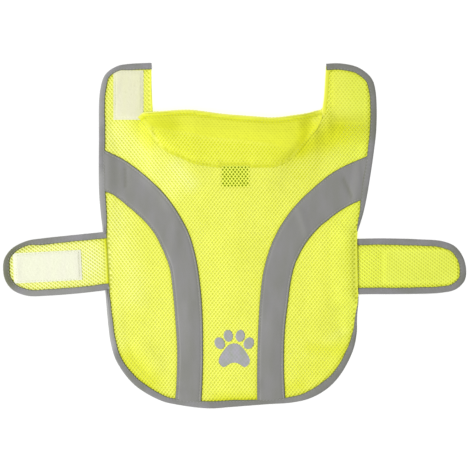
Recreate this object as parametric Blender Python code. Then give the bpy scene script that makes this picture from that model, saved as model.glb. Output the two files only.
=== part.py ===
"""Reflective mesh dog vest (a small dog's poncho), laid flat with its outside up.

Frame: +Z up, +X to the right of the laid-out vest, +Y towards the neck. The origin is the middle of the
layout, on the surface that it lies on. Lengths in this file are millimetres; MM turns them into metres.

Every cut edge is a smooth line through a short table of (x, y) rows. The cloth is a wall between two
height fields: `panel_under` gives the height of its underside, with the folds and the lift at the bound
edges. Whatever lies on a panel is made from that panel's own points, moved up or down.
"""
import math

import bpy
import numpy as np
from mathutils import Vector
from mathutils.geometry import delaunay_2d_cdt

MM = 0.001

# Walls and gaps
CLOTH = 1.0            # mesh cloth
TAPE_WALL = 0.8        # one leaf of the folded binding tape
BAND_WALL = 0.8        # reflective band
PRINT_WALL = 0.5       # printed paw
PAD_WALL = 1.5         # hook-and-loop pad
COLLAR_WALL = 2.6      # folded collar, two layers
GAP = 0.3              # between neighbouring pieces
RIM_LIFT = TAPE_WALL + GAP      # how far a bound edge is held off the surface by its binding

# Binding tape
TAPE_WIDTH = 6.4       # seen width on the straps
EDGE_INSET = TAPE_WALL + GAP    # from the binding's outer fold to the cloth's edge
LEAF_SHORT = 0.4       # the binding's leaves stop this much short of the line where the trim begins
RIM_FLAT = 8.6         # a bound edge stays lifted this far in
RIM_FALL = 11.0        # and comes down to the surface over this much more

# Facet sizes
GRID = 12.0            # spacing of the points inside a panel
EDGE_STEP = 11.0       # spacing of the points along an edge
COLLAR_STEP = 8.0      # spacing of the collar's sections along its seam

# Neck edges: outer edge of the binding, from the strap's inner corner to the belly strap.
# Columns: x, y, seen width of the binding
NECK_EDGE_LEFT = (
    (-83.0, 172.7, 6.4),
    (-106.5, 171.5, 6.4),
    (-117.3, 169.4, 6.4),
    (-129.0, 161.3, 6.4),
    (-134.4, 145.0, 6.4),
    (-135.6, 95.0, 6.4),
    (-135.5, 45.0, 6.4),
    (-133.8, 23.0, 5.9),
    (-131.6, 4.4, 3.8),
)
NECK_EDGE_RIGHT = (
    (91.5, 171.8, 6.4),
    (105.4, 172.1, 6.4),
    (123.5, 168.0, 6.4),
    (136.5, 157.5, 6.4),
    (140.6, 145.5, 6.4),
    (141.7, 110.0, 6.4),
    (139.3, 85.5, 6.4),
    (132.4, 40.7, 6.2),
    (128.6, 22.7, 3.8),
    (122.9, 5.6, 2.4),
)
# Plain folded edges of the neck straps, from the collar up to the strap's end. Columns: x, y
INNER_EDGE_LEFT = ((-79.6, 105.6), (-81.2, 123.7), (-82.2, 148.0), (-83.0, 171.6))
INNER_EDGE_RIGHT = ((87.8, 126.0), (89.6, 137.0), (91.2, 160.0), (91.5, 170.7))

# Right side: the panel's edge rolls over here and hides its seam. Columns: x, y
ROLLED_EDGE = ((122.6, 5.6), (122.5, -3.0), (122.9, -26.0), (123.0, -55.0), (121.8, -76.0))
ROLL_EDGE_HEIGHT = 3.7     # underside at the very edge, just over the belly strap's binding
ROLL_CREST_HEIGHT = 5.6    # underside at the top of the roll
ROLL_CREST_AT = 7.0        # crest, in from the edge
ROLL_WIDTH = 30.0          # where the roll has come down to the surface
ROLL_TOP, ROLL_BOTTOM = -1.0, -62.0     # full height between these
ROLL_FADE = 16.0

# Hem: outer edge of the binding, from the rolled edge round to the left belly strap.
# Columns: x, y, seen width of the binding
HEM_EDGE = (
    (121.7, -76.0, 2.2),
    (122.2, -86.0, 2.6),
    (122.1, -96.0, 4.2),
    (118.3, -114.5, 6.0),
    (105.7, -138.8, 7.0),
    (92.3, -153.0, 8.0),
    (75.3, -162.5, 7.2),
    (58.3, -166.6, 5.8),
    (30.3, -168.6, 5.2),
    (-4.7, -171.3, 6.8),
    (-26.0, -172.6, 7.3),
    (-59.8, -168.4, 5.6),
    (-74.7, -164.4, 6.0),
    (-100.2, -149.0, 7.0),
    (-117.7, -126.0, 5.6),
    (-123.7, -107.5, 5.5),
    (-127.2, -79.5, 4.6),
    (-129.1, -55.8, 4.0),
)

# Belly straps: outer edge of the binding, round the end of the strap. Columns: x, y
STRAP_EDGE_LEFT = (
    (-128.7, 3.9),
    (-165.0, 0.2),
    (-193.0, -2.8),
    (-207.2, -5.1),
    (-222.2, -12.6),
    (-230.0, -23.0),
    (-231.3, -34.3),
    (-229.0, -45.0),
    (-221.7, -54.3),
    (-207.1, -60.1),
    (-185.0, -59.9),
    (-155.0, -57.6),
    (-126.1, -54.3),
)
STRAP_EDGE_RIGHT = (
    (111.0, -3.4),
    (147.4, -2.7),
    (185.4, -3.7),
    (208.0, -5.6),
    (220.4, -10.9),
    (228.4, -21.9),
    (231.3, -35.0),
    (229.6, -45.0),
    (221.0, -53.6),
    (207.0, -57.0),
    (165.4, -58.4),
    (135.4, -58.5),
    (111.0, -58.9),
)
# Seam between the left belly strap and the panel, top and bottom ends. Columns: x, y
STRAP_SEAM_LEFT = ((-128.4, 2.8), (-125.8, -53.2))
SEAM_CORNER_TOP, SEAM_CORNER_BOTTOM = 4.4, -55.0    # the panel's corners above and below that seam

# Collar sections, from the left tip to the right end. Columns: seam x, seam y, fold x, fold y,
# height of the underside at its crest, height of the underside at the fold
COLLAR = (
    (-90.6, 113.0, -95.2, 118.6, 8.2, 8.0),
    (-83.6, 101.6, -84.6, 122.6, 12.0, 7.8),
    (-74.6, 88.6, -72.4, 123.8, 14.0, 8.2),
    (-64.6, 81.8, -62.8, 124.5, 14.4, 8.6),
    (-54.2, 77.6, -52.6, 125.1, 14.0, 9.0),
    (-43.6, 72.6, -42.6, 125.0, 13.4, 9.2),
    (-30.6, 69.6, -30.6, 123.6, 12.6, 9.2),
    (-12.0, 67.4, -12.0, 121.1, 12.0, 9.0),
    (10.4, 67.4, 10.4, 119.3, 12.0, 8.8),
    (26.0, 67.8, 24.0, 118.3, 12.4, 8.8),
    (40.4, 68.4, 35.4, 117.5, 13.0, 8.8),
    (48.4, 71.9, 45.4, 118.0, 13.6, 8.6),
    (59.8, 79.7, 57.4, 119.7, 14.2, 8.4),
    (68.9, 90.2, 67.4, 121.1, 14.2, 8.2),
    (75.4, 98.7, 74.4, 122.6, 13.6, 8.0),
    (82.4, 107.0, 81.4, 124.8, 12.4, 7.8),
    (87.2, 117.6, 86.4, 126.0, 9.6, 8.2),
)
NECK_ALLOWANCE = 4.5       # the panel runs this far in under the collar

# Neckline hump: how high the panel's underside stands at the seam, and how far out it reaches.
# Columns: x along the seam, height, reach
HUMP = (
    (-95.0, 4.2, 40.0),
    (-83.0, 8.6, 44.0),
    (-60.0, 9.0, 46.0),
    (-20.0, 7.0, 44.0),
    (20.0, 7.0, 44.0),
    (60.0, 9.6, 48.0),
    (80.0, 9.2, 48.0),
    (90.0, 5.6, 44.0),
)
HUMP_TOP, HUMP_FADE = 108.0, 30.0      # up the neck straps the hump dies away from here, over this much

# Soft creases of the laid-out panel. Columns: x0, y0, x1, y1, height, reach
CREASES = (
    (84.0, -94.0, 101.0, -103.0, 1.8, 14.0),
    (-92.0, -112.0, -80.0, -130.0, 1.6, 15.0),
)

# Reflective bands, in sections from the neck edge to the hem. Columns: inner x, inner y, outer x, outer y
BAND_LEFT = (
    (-129.3, 85.2, -129.2, 43.8),
    (-109.8, 75.3, -121.0, 40.5),
    (-89.6, 60.2, -107.2, 29.7),
    (-69.0, 40.1, -91.7, 15.9),
    (-54.7, 19.6, -79.8, 1.4),
    (-45.1, 0.6, -70.4, -17.5),
    (-38.2, -24.4, -64.6, -34.4),
    (-34.8, -46.4, -62.0, -54.4),
    (-32.4, -74.4, -60.0, -76.4),
    (-31.6, -114.4, -57.6, -114.4),
    (-32.3, -149.4, -58.4, -149.4),
    (-33.2, -165.0, -59.4, -162.6),
)
BAND_RIGHT = (
    (132.1, 79.3, 124.9, 34.8),
    (110.5, 70.0, 114.0, 29.8),
    (95.5, 61.4, 102.4, 22.6),
    (81.7, 50.3, 91.3, 14.0),
    (65.6, 35.4, 84.1, 7.9),
    (53.9, 21.8, 73.8, -3.7),
    (43.2, 5.0, 66.2, -16.0),
    (35.2, -12.6, 60.0, -29.6),
    (28.6, -36.4, 55.8, -47.4),
    (25.6, -59.4, 53.6, -64.4),
    (23.4, -94.4, 50.2, -94.4),
    (22.4, -129.4, 49.2, -129.4),
    (22.4, -162.9, 50.4, -160.8),
)

# Hook-and-loop pads: centre x, centre y, length along the strap, width, turn in degrees from +X to the
# strap's end, and how much is cut off the end's right and left corners, next to the binding
PAD_NECK_LEFT = (-106.1, 140.4, 49.5, 30.0, 90.0, 0.0, 8.0)
PAD_BELLY_LEFT = (-187.0, -31.0, 68.0, 30.0, 183.0, 6.0, 6.0)
PAD_NECK_RIGHT = (114.0, 139.0, 49.5, 30.0, 90.0, 9.0, 0.0)
PAD_BELLY_RIGHT = (186.0, -31.0, 68.0, 30.0, 0.0, 5.0, 5.0)
PAD_LIFT = PAD_WALL + GAP      # the right straps lie this high over their pads
PAD_REACH = 14.0       # this far round the pad, which takes in the strap's bound edges
PAD_FALL = 18.0        # and come down to the surface over this much more

# Label under the panel: left, right, bottom, top
LABEL_BOX = (-12.4, 14.2, 48.4, 66.4)
LABEL_WALL = 0.8

# Printed paw
PAW_CENTRE = (-0.4, -117.6)
PAW_HALF_WIDTH = 16.0
# Right half of the main pad from its top to its hollow foot, in half widths. Columns: x, y
PAW_PAD_SHAPE = ((0.0, 0.62), (0.42, 0.46), (0.98, -0.52), (0.66, -0.86), (0.30, -0.66), (0.0, -0.58))
PAW_STEP = 0.25
PAW_TOE_RADIUS = 16.6          # from the point below to the toes' centres
PAW_TOE_POINT = (-0.4, -115.6)
PAW_TOE_ANGLES = (151.0, 111.0, 69.0, 29.0)
PAW_TOE_SIZES = ((5.0, 6.2), (4.7, 6.0), (4.7, 6.0), (5.0, 6.2))
PAW_TOE_TURNS = (28.0, 8.0, -8.0, -28.0)

# Colours: red, green, blue, roughness
LOOKS = {
    "mesh": (0.80, 0.92, 0.08, 0.85),
    "binding": (0.25, 0.26, 0.25, 0.80),
    "reflective": (0.28, 0.28, 0.27, 0.45),
    "hook_and_loop": (0.86, 0.88, 0.70, 0.95),
    "print": (0.42, 0.42, 0.43, 0.40),
    "label": (0.10, 0.11, 0.09, 0.90),
}


# ---------------------------------------------------------------- lines in plan

def smooth_line(rows, step, closed=False):
    """Points about `step` apart on a centripetal Catmull-Rom curve through every row."""
    rows = np.array(rows, float)
    if closed:
        knots = np.vstack([rows[-1:], rows, rows[:2]])
    else:
        knots = np.vstack([2.0 * rows[0] - rows[1], rows, 2.0 * rows[-1] - rows[-2]])
    line = [] if closed else [knots[1]]
    for p0, p1, p2, p3 in zip(knots, knots[1:], knots[2:], knots[3:]):
        t1 = np.linalg.norm((p1 - p0)[:2]) ** 0.5
        t2 = t1 + np.linalg.norm((p2 - p1)[:2]) ** 0.5
        t3 = t2 + np.linalg.norm((p3 - p2)[:2]) ** 0.5
        count = max(1, round(np.linalg.norm((p2 - p1)[:2]) / step))
        for k in range(1, count + 1):
            t = t1 + (t2 - t1) * k / count
            a1 = p0 * (t1 - t) / t1 + p1 * t / t1
            a2 = p1 * (t2 - t) / (t2 - t1) + p2 * (t - t1) / (t2 - t1)
            a3 = p2 * (t3 - t) / (t3 - t2) + p3 * (t - t2) / (t3 - t2)
            b1 = a1 * (t2 - t) / t2 + a2 * t / t2
            b2 = a2 * (t3 - t) / (t3 - t1) + a3 * (t - t1) / (t3 - t1)
            line.append(b1 * (t2 - t) / (t2 - t1) + b2 * (t - t1) / (t2 - t1))
    return np.array(line)


def offset(line, distance):
    """The line moved sideways to its left, seen along its direction; distance may vary along it."""
    run = np.gradient(line[:, :2], axis=0)
    run /= np.linalg.norm(run, axis=1)[:, None]
    left = np.stack([-run[:, 1], run[:, 0]], axis=1)
    return line[:, :2] + left * np.broadcast_to(distance, len(line))[:, None]


def distance_to(points, line):
    """Distance in plan from each point to the nearest spot on an open line."""
    starts, ends = line[:-1], line[1:]
    runs = ends - starts
    toward = points[:, None, :] - starts[None]
    along = np.clip((toward * runs).sum(2) / (runs * runs).sum(1), 0.0, 1.0)
    near = starts[None] + along[..., None] * runs[None]
    return np.linalg.norm(points[:, None, :] - near, axis=2).min(axis=1)


def inside(points, loop):
    """True for each point that lies inside a closed loop."""
    x, y = points[:, 0, None], points[:, 1, None]
    x0, y0 = loop[:, 0], loop[:, 1]
    x1, y1 = np.roll(x0, -1), np.roll(y0, -1)
    crosses = (y0 > y) != (y1 > y)
    height = np.where(y1 == y0, 1.0, y1 - y0)
    at = x0 + (y - y0) * (x1 - x0) / height
    return (crosses & (x < at)).sum(axis=1) % 2 == 1


def ease(t):
    """0 to 1, smooth at both ends."""
    t = np.clip(t, 0.0, 1.0)
    return t * t * (3.0 - 2.0 * t)


def pad_loop(pad):
    """Corners of a pad, counterclockwise, with the two at the strap's end cut off."""
    x, y, length, width, turn, cut_right, cut_left = pad
    c, s = math.cos(math.radians(turn)), math.sin(math.radians(turn))
    end, side = length / 2.0, width / 2.0
    corners = [(-end, -side), (end - cut_right, -side), (end, -side + cut_right)]
    corners += [(end, side - cut_left), (end - cut_left, side), (-end, side)]
    kept = [corner for corner, after in zip(corners, corners[1:] + corners[:1]) if corner != after]
    return np.array([(x + c * i - s * j, y + s * i + c * j) for i, j in kept])


def ellipse(centre, radii, turn, count=14):
    """Closed loop of a turned ellipse."""
    c, s = math.cos(math.radians(turn)), math.sin(math.radians(turn))
    angles = [2.0 * math.pi * k / count for k in range(count)]
    return np.array([
        (
            centre[0] + c * radii[0] * math.cos(a) - s * radii[1] * math.sin(a),
            centre[1] + s * radii[0] * math.cos(a) + c * radii[1] * math.sin(a),
        )
        for a in angles
    ])


# ---------------------------------------------------------------- edges of the pieces

NECK_LEFT = smooth_line(NECK_EDGE_LEFT, EDGE_STEP)
NECK_RIGHT = smooth_line(NECK_EDGE_RIGHT, EDGE_STEP)
ROLLED = smooth_line(ROLLED_EDGE, EDGE_STEP)
HEM = smooth_line(HEM_EDGE, EDGE_STEP)
STRAP_LEFT = smooth_line(STRAP_EDGE_LEFT, EDGE_STEP)
STRAP_RIGHT = smooth_line(STRAP_EDGE_RIGHT, EDGE_STEP)
SECTIONS = smooth_line(COLLAR, COLLAR_STEP)
SEAM = SECTIONS[:, 0:2]

# Side of each line on which the cloth lies: +1 to its left, -1 to its right
SIDES = {"neck_left": 1, "neck_right": -1, "hem": -1, "strap_left": 1, "strap_right": -1}
EDGES = {
    "neck_left": (NECK_LEFT[:, :2], NECK_LEFT[:, 2]),
    "neck_right": (NECK_RIGHT[:, :2], NECK_RIGHT[:, 2]),
    "hem": (HEM[:, :2], HEM[:, 2]),
    "strap_left": (STRAP_LEFT, np.full(len(STRAP_LEFT), TAPE_WIDTH)),
    "strap_right": (STRAP_RIGHT, np.full(len(STRAP_RIGHT), TAPE_WIDTH)),
}


def edge_line(name, inset):
    """A bound edge's line moved into the cloth; inset is a number or "tape" for the binding's width."""
    line, widths = EDGES[name]
    return offset(line, SIDES[name] * (widths if inset == "tape" else inset))


# ---------------------------------------------------------------- height of the cloth

def rim(points, names):
    """Lift at the bound edges, where the lower leaf of the binding lies under the cloth."""
    near = np.min([distance_to(points, edge_line(name, 0.0)) for name in names], axis=0)
    return RIM_LIFT * (1.0 - ease((near - RIM_FLAT) / RIM_FALL))


def over_pad(points, pad):
    """Lift of a strap over the pad on its underside."""
    loop = pad_loop(pad)
    away = distance_to(points, np.vstack([loop, loop[:1]]))
    away[inside(points, loop)] = 0.0
    return PAD_LIFT * (1.0 - ease((away - PAD_REACH) / PAD_FALL))


def hump(points):
    """The panel stands up towards the neckline, where the collar pulls it off the surface."""
    away = distance_to(points, SEAM)
    x, height, reach = np.array(HUMP).T
    high = np.interp(points[:, 0], x, height) * (1.0 - ease(away / np.interp(points[:, 0], x, reach)))
    return high * (1.0 - ease((points[:, 1] - HUMP_TOP) / HUMP_FADE))


def roll(points):
    """The rolled right edge, which passes over the belly strap."""
    away = distance_to(points, ROLLED)
    rise = ROLL_EDGE_HEIGHT + (ROLL_CREST_HEIGHT - ROLL_EDGE_HEIGHT) * ease(away / ROLL_CREST_AT)
    fall = ROLL_CREST_HEIGHT * (1.0 - ease((away - ROLL_CREST_AT) / (ROLL_WIDTH - ROLL_CREST_AT)))
    above = ease((points[:, 1] - ROLL_TOP) / ROLL_FADE)
    below = ease((ROLL_BOTTOM - points[:, 1]) / ROLL_FADE)
    return np.minimum(rise, fall) * (1.0 - above) * (1.0 - below)


def creases(points):
    """Soft creases of the laid-out panel."""
    total = np.zeros(len(points))
    for x0, y0, x1, y1, height, reach in CREASES:
        away = distance_to(points, np.array(((x0, y0), (x1, y1))))
        total += height * (1.0 - ease(away / reach))
    return total


def panel_under(points):
    """Height of the panel's underside at each plan point."""
    folds = np.maximum(hump(points), roll(points)) + creases(points)
    bound = rim(points, ("neck_left", "neck_right", "hem"))
    return np.maximum.reduce([folds, bound, over_pad(points, PAD_NECK_RIGHT)])


def strap_left_under(points):
    """Height of the left belly strap's underside."""
    return rim(points, ("strap_left",))


def strap_right_under(points):
    """Height of the right belly strap's underside."""
    return np.maximum(rim(points, ("strap_right",)), over_pad(points, PAD_BELLY_RIGHT))


# ---------------------------------------------------------------- solids

def material(look):
    """Plain finish for one kind of piece."""
    red, green, blue, roughness = LOOKS[look]
    made = bpy.data.materials.new(look)
    made.use_nodes = True
    shader = made.node_tree.nodes["Principled BSDF"]
    shader.inputs["Base Color"].default_value = (red, green, blue, 1.0)
    shader.inputs["Roughness"].default_value = roughness
    shader.inputs["Metallic"].default_value = 0.0
    return made


def add_piece(name, look, points, faces):
    """One named object from points in millimetres."""
    mesh = bpy.data.meshes.new(name)
    mesh.from_pydata([Vector(p) * MM for p in points], [], faces)
    mesh.materials.append(material(look))
    mesh.shade_smooth()
    mesh.set_sharp_from_angle(angle=math.radians(40.0))
    bpy.context.scene.collection.objects.link(bpy.data.objects.new(name, mesh))


def cut_cloth(loop, lines):
    """Triangles that fill a closed loop and keep the given open or closed lines as edges."""
    rows = [np.vstack([loop, loop[:1]])] + lines
    low, high = loop.min(axis=0), loop.max(axis=0)
    row_step = GRID * math.sqrt(3.0) / 2.0
    inner = []
    for j in range(int((high[1] - low[1]) / row_step) + 1):
        shift = GRID / 2.0 if j % 2 else 0.0
        for i in range(int((high[0] - low[0]) / GRID) + 2):
            inner.append((low[0] + i * GRID + shift, low[1] + j * row_step))
    inner = np.array(inner)
    clear = inside(inner, loop)
    for line in rows:
        clear &= distance_to(inner, line) > GRID * 0.45
    points, edges = [], []
    for line in [loop] + lines:
        start = len(points)
        points += [Vector(p) for p in line]
        edges += [(start + k, start + k + 1) for k in range(len(line) - 1)]
    points += [Vector(p) for p in inner[clear]]
    made = delaunay_2d_cdt(points, edges, [list(range(len(loop)))], 1, 1e-4)
    plan = np.array([tuple(p) for p in made[0]])
    return plan, within(plan, [tuple(f) for f in made[2]], loop, [])


def within(plan, triangles, loop, except_loops):
    """Those triangles whose middles lie inside a loop and outside all of the others."""
    middles = np.array([plan[list(t)].mean(axis=0) for t in triangles])
    take = inside(middles, loop)
    for other in except_loops:
        take &= ~inside(middles, other)
    return [t for t, keep in zip(triangles, take) if keep]


def wall(name, look, plan, triangles, under, over):
    """Closed solid between two heights over the given triangles of a plan."""
    used = sorted({k for triangle in triangles for k in triangle})
    place = {old: new for new, old in enumerate(used)}
    count = len(used)
    points = [(*plan[k], over[k]) for k in used] + [(*plan[k], under[k]) for k in used]
    faces, rims = [], {}
    for a, b, c in triangles:
        (ax, ay), (bx, by), (cx, cy) = plan[a], plan[b], plan[c]
        if (bx - ax) * (cy - ay) - (by - ay) * (cx - ax) < 0.0:
            b, c = c, b
        a, b, c = place[a], place[b], place[c]
        faces += [(a, b, c), (a + count, c + count, b + count)]
        for edge in ((a, b), (b, c), (c, a)):
            if (edge[1], edge[0]) in rims:
                del rims[(edge[1], edge[0])]
            else:
                rims[edge] = True
    for a, b in rims:
        faces += [(b, a, a + count), (b, a + count, b + count)]
    add_piece(name, look, points, faces)


def tape_strips(names):
    """Loops that the leaves of the binding cover on a panel."""
    strips = []
    for name in names:
        strips.append(np.vstack([edge_line(name, 0.0), edge_line(name, "tape")[::-1]]))
    return strips


def tube_of_rings(name, look, rings):
    """Closed solid through equal rings of points, capped at both ends."""
    size = len(rings[0])
    points = [tuple(p) for ring in rings for p in ring]
    faces = []
    for k in range(len(rings) - 1):
        for i in range(size):
            a, b = k * size + i, k * size + (i + 1) % size
            faces.append((a, b, b + size, a + size))
    faces.append(tuple(range(size - 1, -1, -1)))
    faces.append(tuple((len(rings) - 1) * size + i for i in range(size)))
    add_piece(name, look, points, faces)


def binding(name, edge, cloth_under):
    """Binding tape folded over an edge: a C in section, its two leaves GAP clear of the cloth."""
    line, widths = EDGES[edge]
    fold = offset(line, SIDES[edge] * TAPE_WALL)
    cloth_edge = edge_line(edge, EDGE_INSET)
    tape_line = edge_line(edge, "tape")
    leaf_end = offset(line, SIDES[edge] * (widths - LEAF_SHORT))
    at_edge = cloth_under(cloth_edge)
    at_line = cloth_under(tape_line)
    share = (widths - LEAF_SHORT - EDGE_INSET) / (widths - EDGE_INSET)
    at_leaf = at_edge + (at_line - at_edge) * share
    low, high = -GAP, CLOTH + GAP
    rings = []
    for k in range(len(line)):
        ring = (
            (*line[k], at_edge[k] + high + TAPE_WALL * 0.5),
            (*(line[k] * 0.6 + fold[k] * 0.4), at_edge[k] + high + TAPE_WALL),
            (*leaf_end[k], at_leaf[k] + high + TAPE_WALL),
            (*leaf_end[k], at_leaf[k] + high),
            (*fold[k], at_edge[k] + high),
            (*fold[k], at_edge[k] + low),
            (*leaf_end[k], at_leaf[k] + low),
            (*leaf_end[k], at_leaf[k] + low - TAPE_WALL),
            (*(line[k] * 0.6 + fold[k] * 0.4), at_edge[k] + low - TAPE_WALL),
            (*line[k], at_edge[k] + low - TAPE_WALL * 0.5),
        )
        rings.append(ring if SIDES[edge] < 0 else ring[::-1])
    tube_of_rings(name, "binding", rings)


# ---------------------------------------------------------------- the garment

def paw_loops():
    """Loops of the printed paw: a rounded main pad and four oval toes."""
    left = [(-x, y) for x, y in PAW_PAD_SHAPE[-2:0:-1]]
    shape = smooth_line([*PAW_PAD_SHAPE, *left], PAW_STEP, closed=True)
    loops = {"paw_pad": shape * PAW_HALF_WIDTH + np.array(PAW_CENTRE)}
    toes = zip(PAW_TOE_ANGLES, PAW_TOE_SIZES, PAW_TOE_TURNS)
    for number, (angle, size, turn) in enumerate(toes, start=1):
        centre = (
            PAW_TOE_POINT[0] + PAW_TOE_RADIUS * math.cos(math.radians(angle)),
            PAW_TOE_POINT[1] + PAW_TOE_RADIUS * math.sin(math.radians(angle)),
        )
        loops[f"paw_toe_{number}"] = ellipse(centre, size, turn)
    return loops


def band_loop(sections):
    """Closed loop and its two long edges for a reflective band."""
    rows = smooth_line(sections, EDGE_STEP)
    return np.vstack([rows[:, 0:2], rows[::-1, 2:4]])


def neck_allowance():
    """The panel's raw neckline edge, hidden under the collar, right of the left strap's plain edge."""
    line = offset(SEAM, NECK_ALLOWANCE)[1:]
    return line[line[:, 0] > INNER_EDGE_LEFT[0][0]]


def panel_loop():
    """The panel's edge: straps, right side, hem, left side, and the neckline under the collar."""
    seam_top, seam_bottom = np.array(STRAP_SEAM_LEFT)
    aside = np.array((GAP / 2.0, 0.0))
    return np.vstack([
        smooth_line(INNER_EDGE_RIGHT, EDGE_STEP)[:-1],
        edge_line("neck_right", EDGE_INSET),
        ROLLED[1:-1],
        edge_line("hem", EDGE_INSET),
        (seam_bottom[0] + GAP / 2.0, SEAM_CORNER_BOTTOM),
        seam_bottom + aside,
        seam_top + aside,
        (seam_top[0] + GAP / 2.0, SEAM_CORNER_TOP),
        edge_line("neck_left", EDGE_INSET)[::-1],
        smooth_line(INNER_EDGE_LEFT, EDGE_STEP)[:-1][::-1],
        neck_allowance(),
    ])


def make_panel():
    """The back panel and everything that lies on it or is sewn under it."""
    loops = paw_loops()
    loops["band_left"] = band_loop(BAND_LEFT)
    loops["band_right"] = band_loop(BAND_RIGHT)
    loops["pad_neck_left"] = pad_loop(PAD_NECK_LEFT)
    loops["pad_neck_right"] = pad_loop(PAD_NECK_RIGHT)
    left, right, bottom, top = LABEL_BOX
    loops["label"] = np.array(((left, bottom), (right, bottom), (right, top), (left, top)))
    lines = [np.vstack([loop, loop[:1]]) for loop in loops.values()]
    lines += [edge_line(name, "tape") for name in ("neck_left", "neck_right", "hem")]
    lines.append(SEAM)
    plan, triangles = cut_cloth(panel_loop(), lines)
    under = panel_under(plan)
    over = under + CLOTH
    wall("back_panel", "mesh", plan, triangles, under, over)
    strips = tape_strips(("neck_left", "neck_right", "hem"))
    on_top = over + GAP
    layers = {
        "band_left": ("reflective", on_top, on_top + BAND_WALL),
        "band_right": ("reflective", on_top, on_top + BAND_WALL),
        "pad_neck_left": ("hook_and_loop", on_top, on_top + PAD_WALL),
        "pad_neck_right": ("hook_and_loop", under - PAD_LIFT, under - GAP),
        "label": ("label", under - GAP - LABEL_WALL, under - GAP),
    }
    for name, loop in loops.items():
        look, low, high = layers.get(name, ("print", on_top, on_top + PRINT_WALL))
        wall(name, look, plan, within(plan, triangles, loop, strips), low, high)


def make_strap(side, seam, pad, cloth_under, pad_on_top):
    """A belly strap with its hook-and-loop pad."""
    edge = f"strap_{side}"
    loop = np.vstack([edge_line(edge, EDGE_INSET), seam])
    patch = pad_loop(pad)
    lines = [np.vstack([patch, patch[:1]]), edge_line(edge, "tape")]
    plan, triangles = cut_cloth(loop, lines)
    under = cloth_under(plan)
    over = under + CLOTH
    wall(f"belly_strap_{side}", "mesh", plan, triangles, under, over)
    low, high = (over + GAP, over + GAP + PAD_WALL) if pad_on_top else (under - PAD_LIFT, under - GAP)
    covered = within(plan, triangles, patch, [])
    wall(f"pad_belly_{side}", "hook_and_loop", plan, covered, low, high)
    binding(f"binding_strap_{side}", edge, cloth_under)


def make_collar():
    """The folded collar: two layers with a rounded fold, crowned between the seam and the fold."""
    at_seam = panel_under(SEAM) + CLOTH + GAP
    profile = ((0.0, 0.0), (0.10, 0.55), (0.28, 0.92), (0.48, 1.0), (0.70, 0.85), (0.88, 0.45), (1.0, 0.0))
    rings = []
    for row, seam_height in zip(SECTIONS, at_seam):
        seam, fold, crest, fold_height = row[0:2], row[2:4], row[4], row[5]
        lower = []
        for along, share in profile:
            straight = seam_height + (fold_height - seam_height) * along
            lower.append((*(seam + (fold - seam) * along), straight + (crest - straight) * share))
        upper = [(x, y, z + COLLAR_WALL) for x, y, z in lower]
        run = (fold - seam) / np.linalg.norm(fold - seam)
        round_fold = [(*(fold + run * COLLAR_WALL * 0.3), fold_height + COLLAR_WALL * 0.5)]
        round_seam = [(*(seam - run * COLLAR_WALL * 0.3), seam_height + COLLAR_WALL * 0.5)]
        rings.append(lower + round_fold + upper[::-1] + round_seam)
    tube_of_rings("collar", "mesh", rings)


def main():
    for thing in list(bpy.data.objects):
        bpy.data.objects.remove(thing)
    make_panel()
    binding("binding_neck_left", "neck_left", panel_under)
    binding("binding_neck_right", "neck_right", panel_under)
    binding("binding_hem", "hem", panel_under)
    aside = np.array((GAP / 2.0, 0.0))
    seam_left = np.array(STRAP_SEAM_LEFT)[::-1] - aside
    make_strap("left", seam_left, PAD_BELLY_LEFT, strap_left_under, True)
    make_strap("right", np.zeros((0, 2)), PAD_BELLY_RIGHT, strap_right_under, False)
    make_collar()


main()
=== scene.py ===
"""Looks of a reflective mesh dog vest, laid flat with its outside up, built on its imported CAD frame.

Lengths are millimetres, in the part's frame: +X right, +Y to the neck, +Z up, with the surface that the vest lies
on at z = 0. MM turns them into metres.

The cloth is a real net: a staggered grid of small holes, each a short funnel between thicker knots. It lies on
the height fields below, which repeat the CAD part's folds and add the soft ones. Whatever is sewn or printed on
a panel is made from the same fields.
"""
import math

import bpy
import numpy as np
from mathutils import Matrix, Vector
from mathutils.geometry import delaunay_2d_cdt


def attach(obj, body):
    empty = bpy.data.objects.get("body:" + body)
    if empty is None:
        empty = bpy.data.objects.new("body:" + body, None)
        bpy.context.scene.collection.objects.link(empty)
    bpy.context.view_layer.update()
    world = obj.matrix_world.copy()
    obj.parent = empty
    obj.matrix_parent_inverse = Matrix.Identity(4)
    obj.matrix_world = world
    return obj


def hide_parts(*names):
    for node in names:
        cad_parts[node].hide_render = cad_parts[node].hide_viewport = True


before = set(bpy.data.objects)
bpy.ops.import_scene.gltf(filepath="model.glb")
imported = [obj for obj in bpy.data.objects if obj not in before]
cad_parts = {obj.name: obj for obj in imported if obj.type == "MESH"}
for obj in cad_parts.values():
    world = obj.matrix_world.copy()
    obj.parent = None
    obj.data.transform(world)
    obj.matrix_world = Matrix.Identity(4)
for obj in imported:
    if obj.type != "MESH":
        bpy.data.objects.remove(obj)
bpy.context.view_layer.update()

MM = 0.001
CIRCLE = 2.0 * math.pi

CLOTH_MID = 0.62       # middle of the net, over the cloth's underside
TAPE_WALL = 0.8        # one leaf of the folded binding tape
GAP = 0.3              # between neighbouring pieces
COLLAR_WALL = 2.6      # folded collar, two layers
TAPE_WIDTH = 6.4       # seen width of the binding tape where the rows below don't give it
EDGE_INSET = TAPE_WALL + GAP    # from a tape's outer edge in to the cloth's own edge
RIM_LIFT = TAPE_WALL + GAP      # a bound edge stays lifted by this over the tape's lower leaf
RIM_FLAT = 8.6         # this far in
RIM_FALL = 11.0        # and comes down to the surface over this much more
EDGE_STEP, COLLAR_STEP = 11.0, 8.0      # points of the lines that the height fields are measured from
FINE_STEP = 1.5        # points of the lines that pieces are swept along

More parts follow.
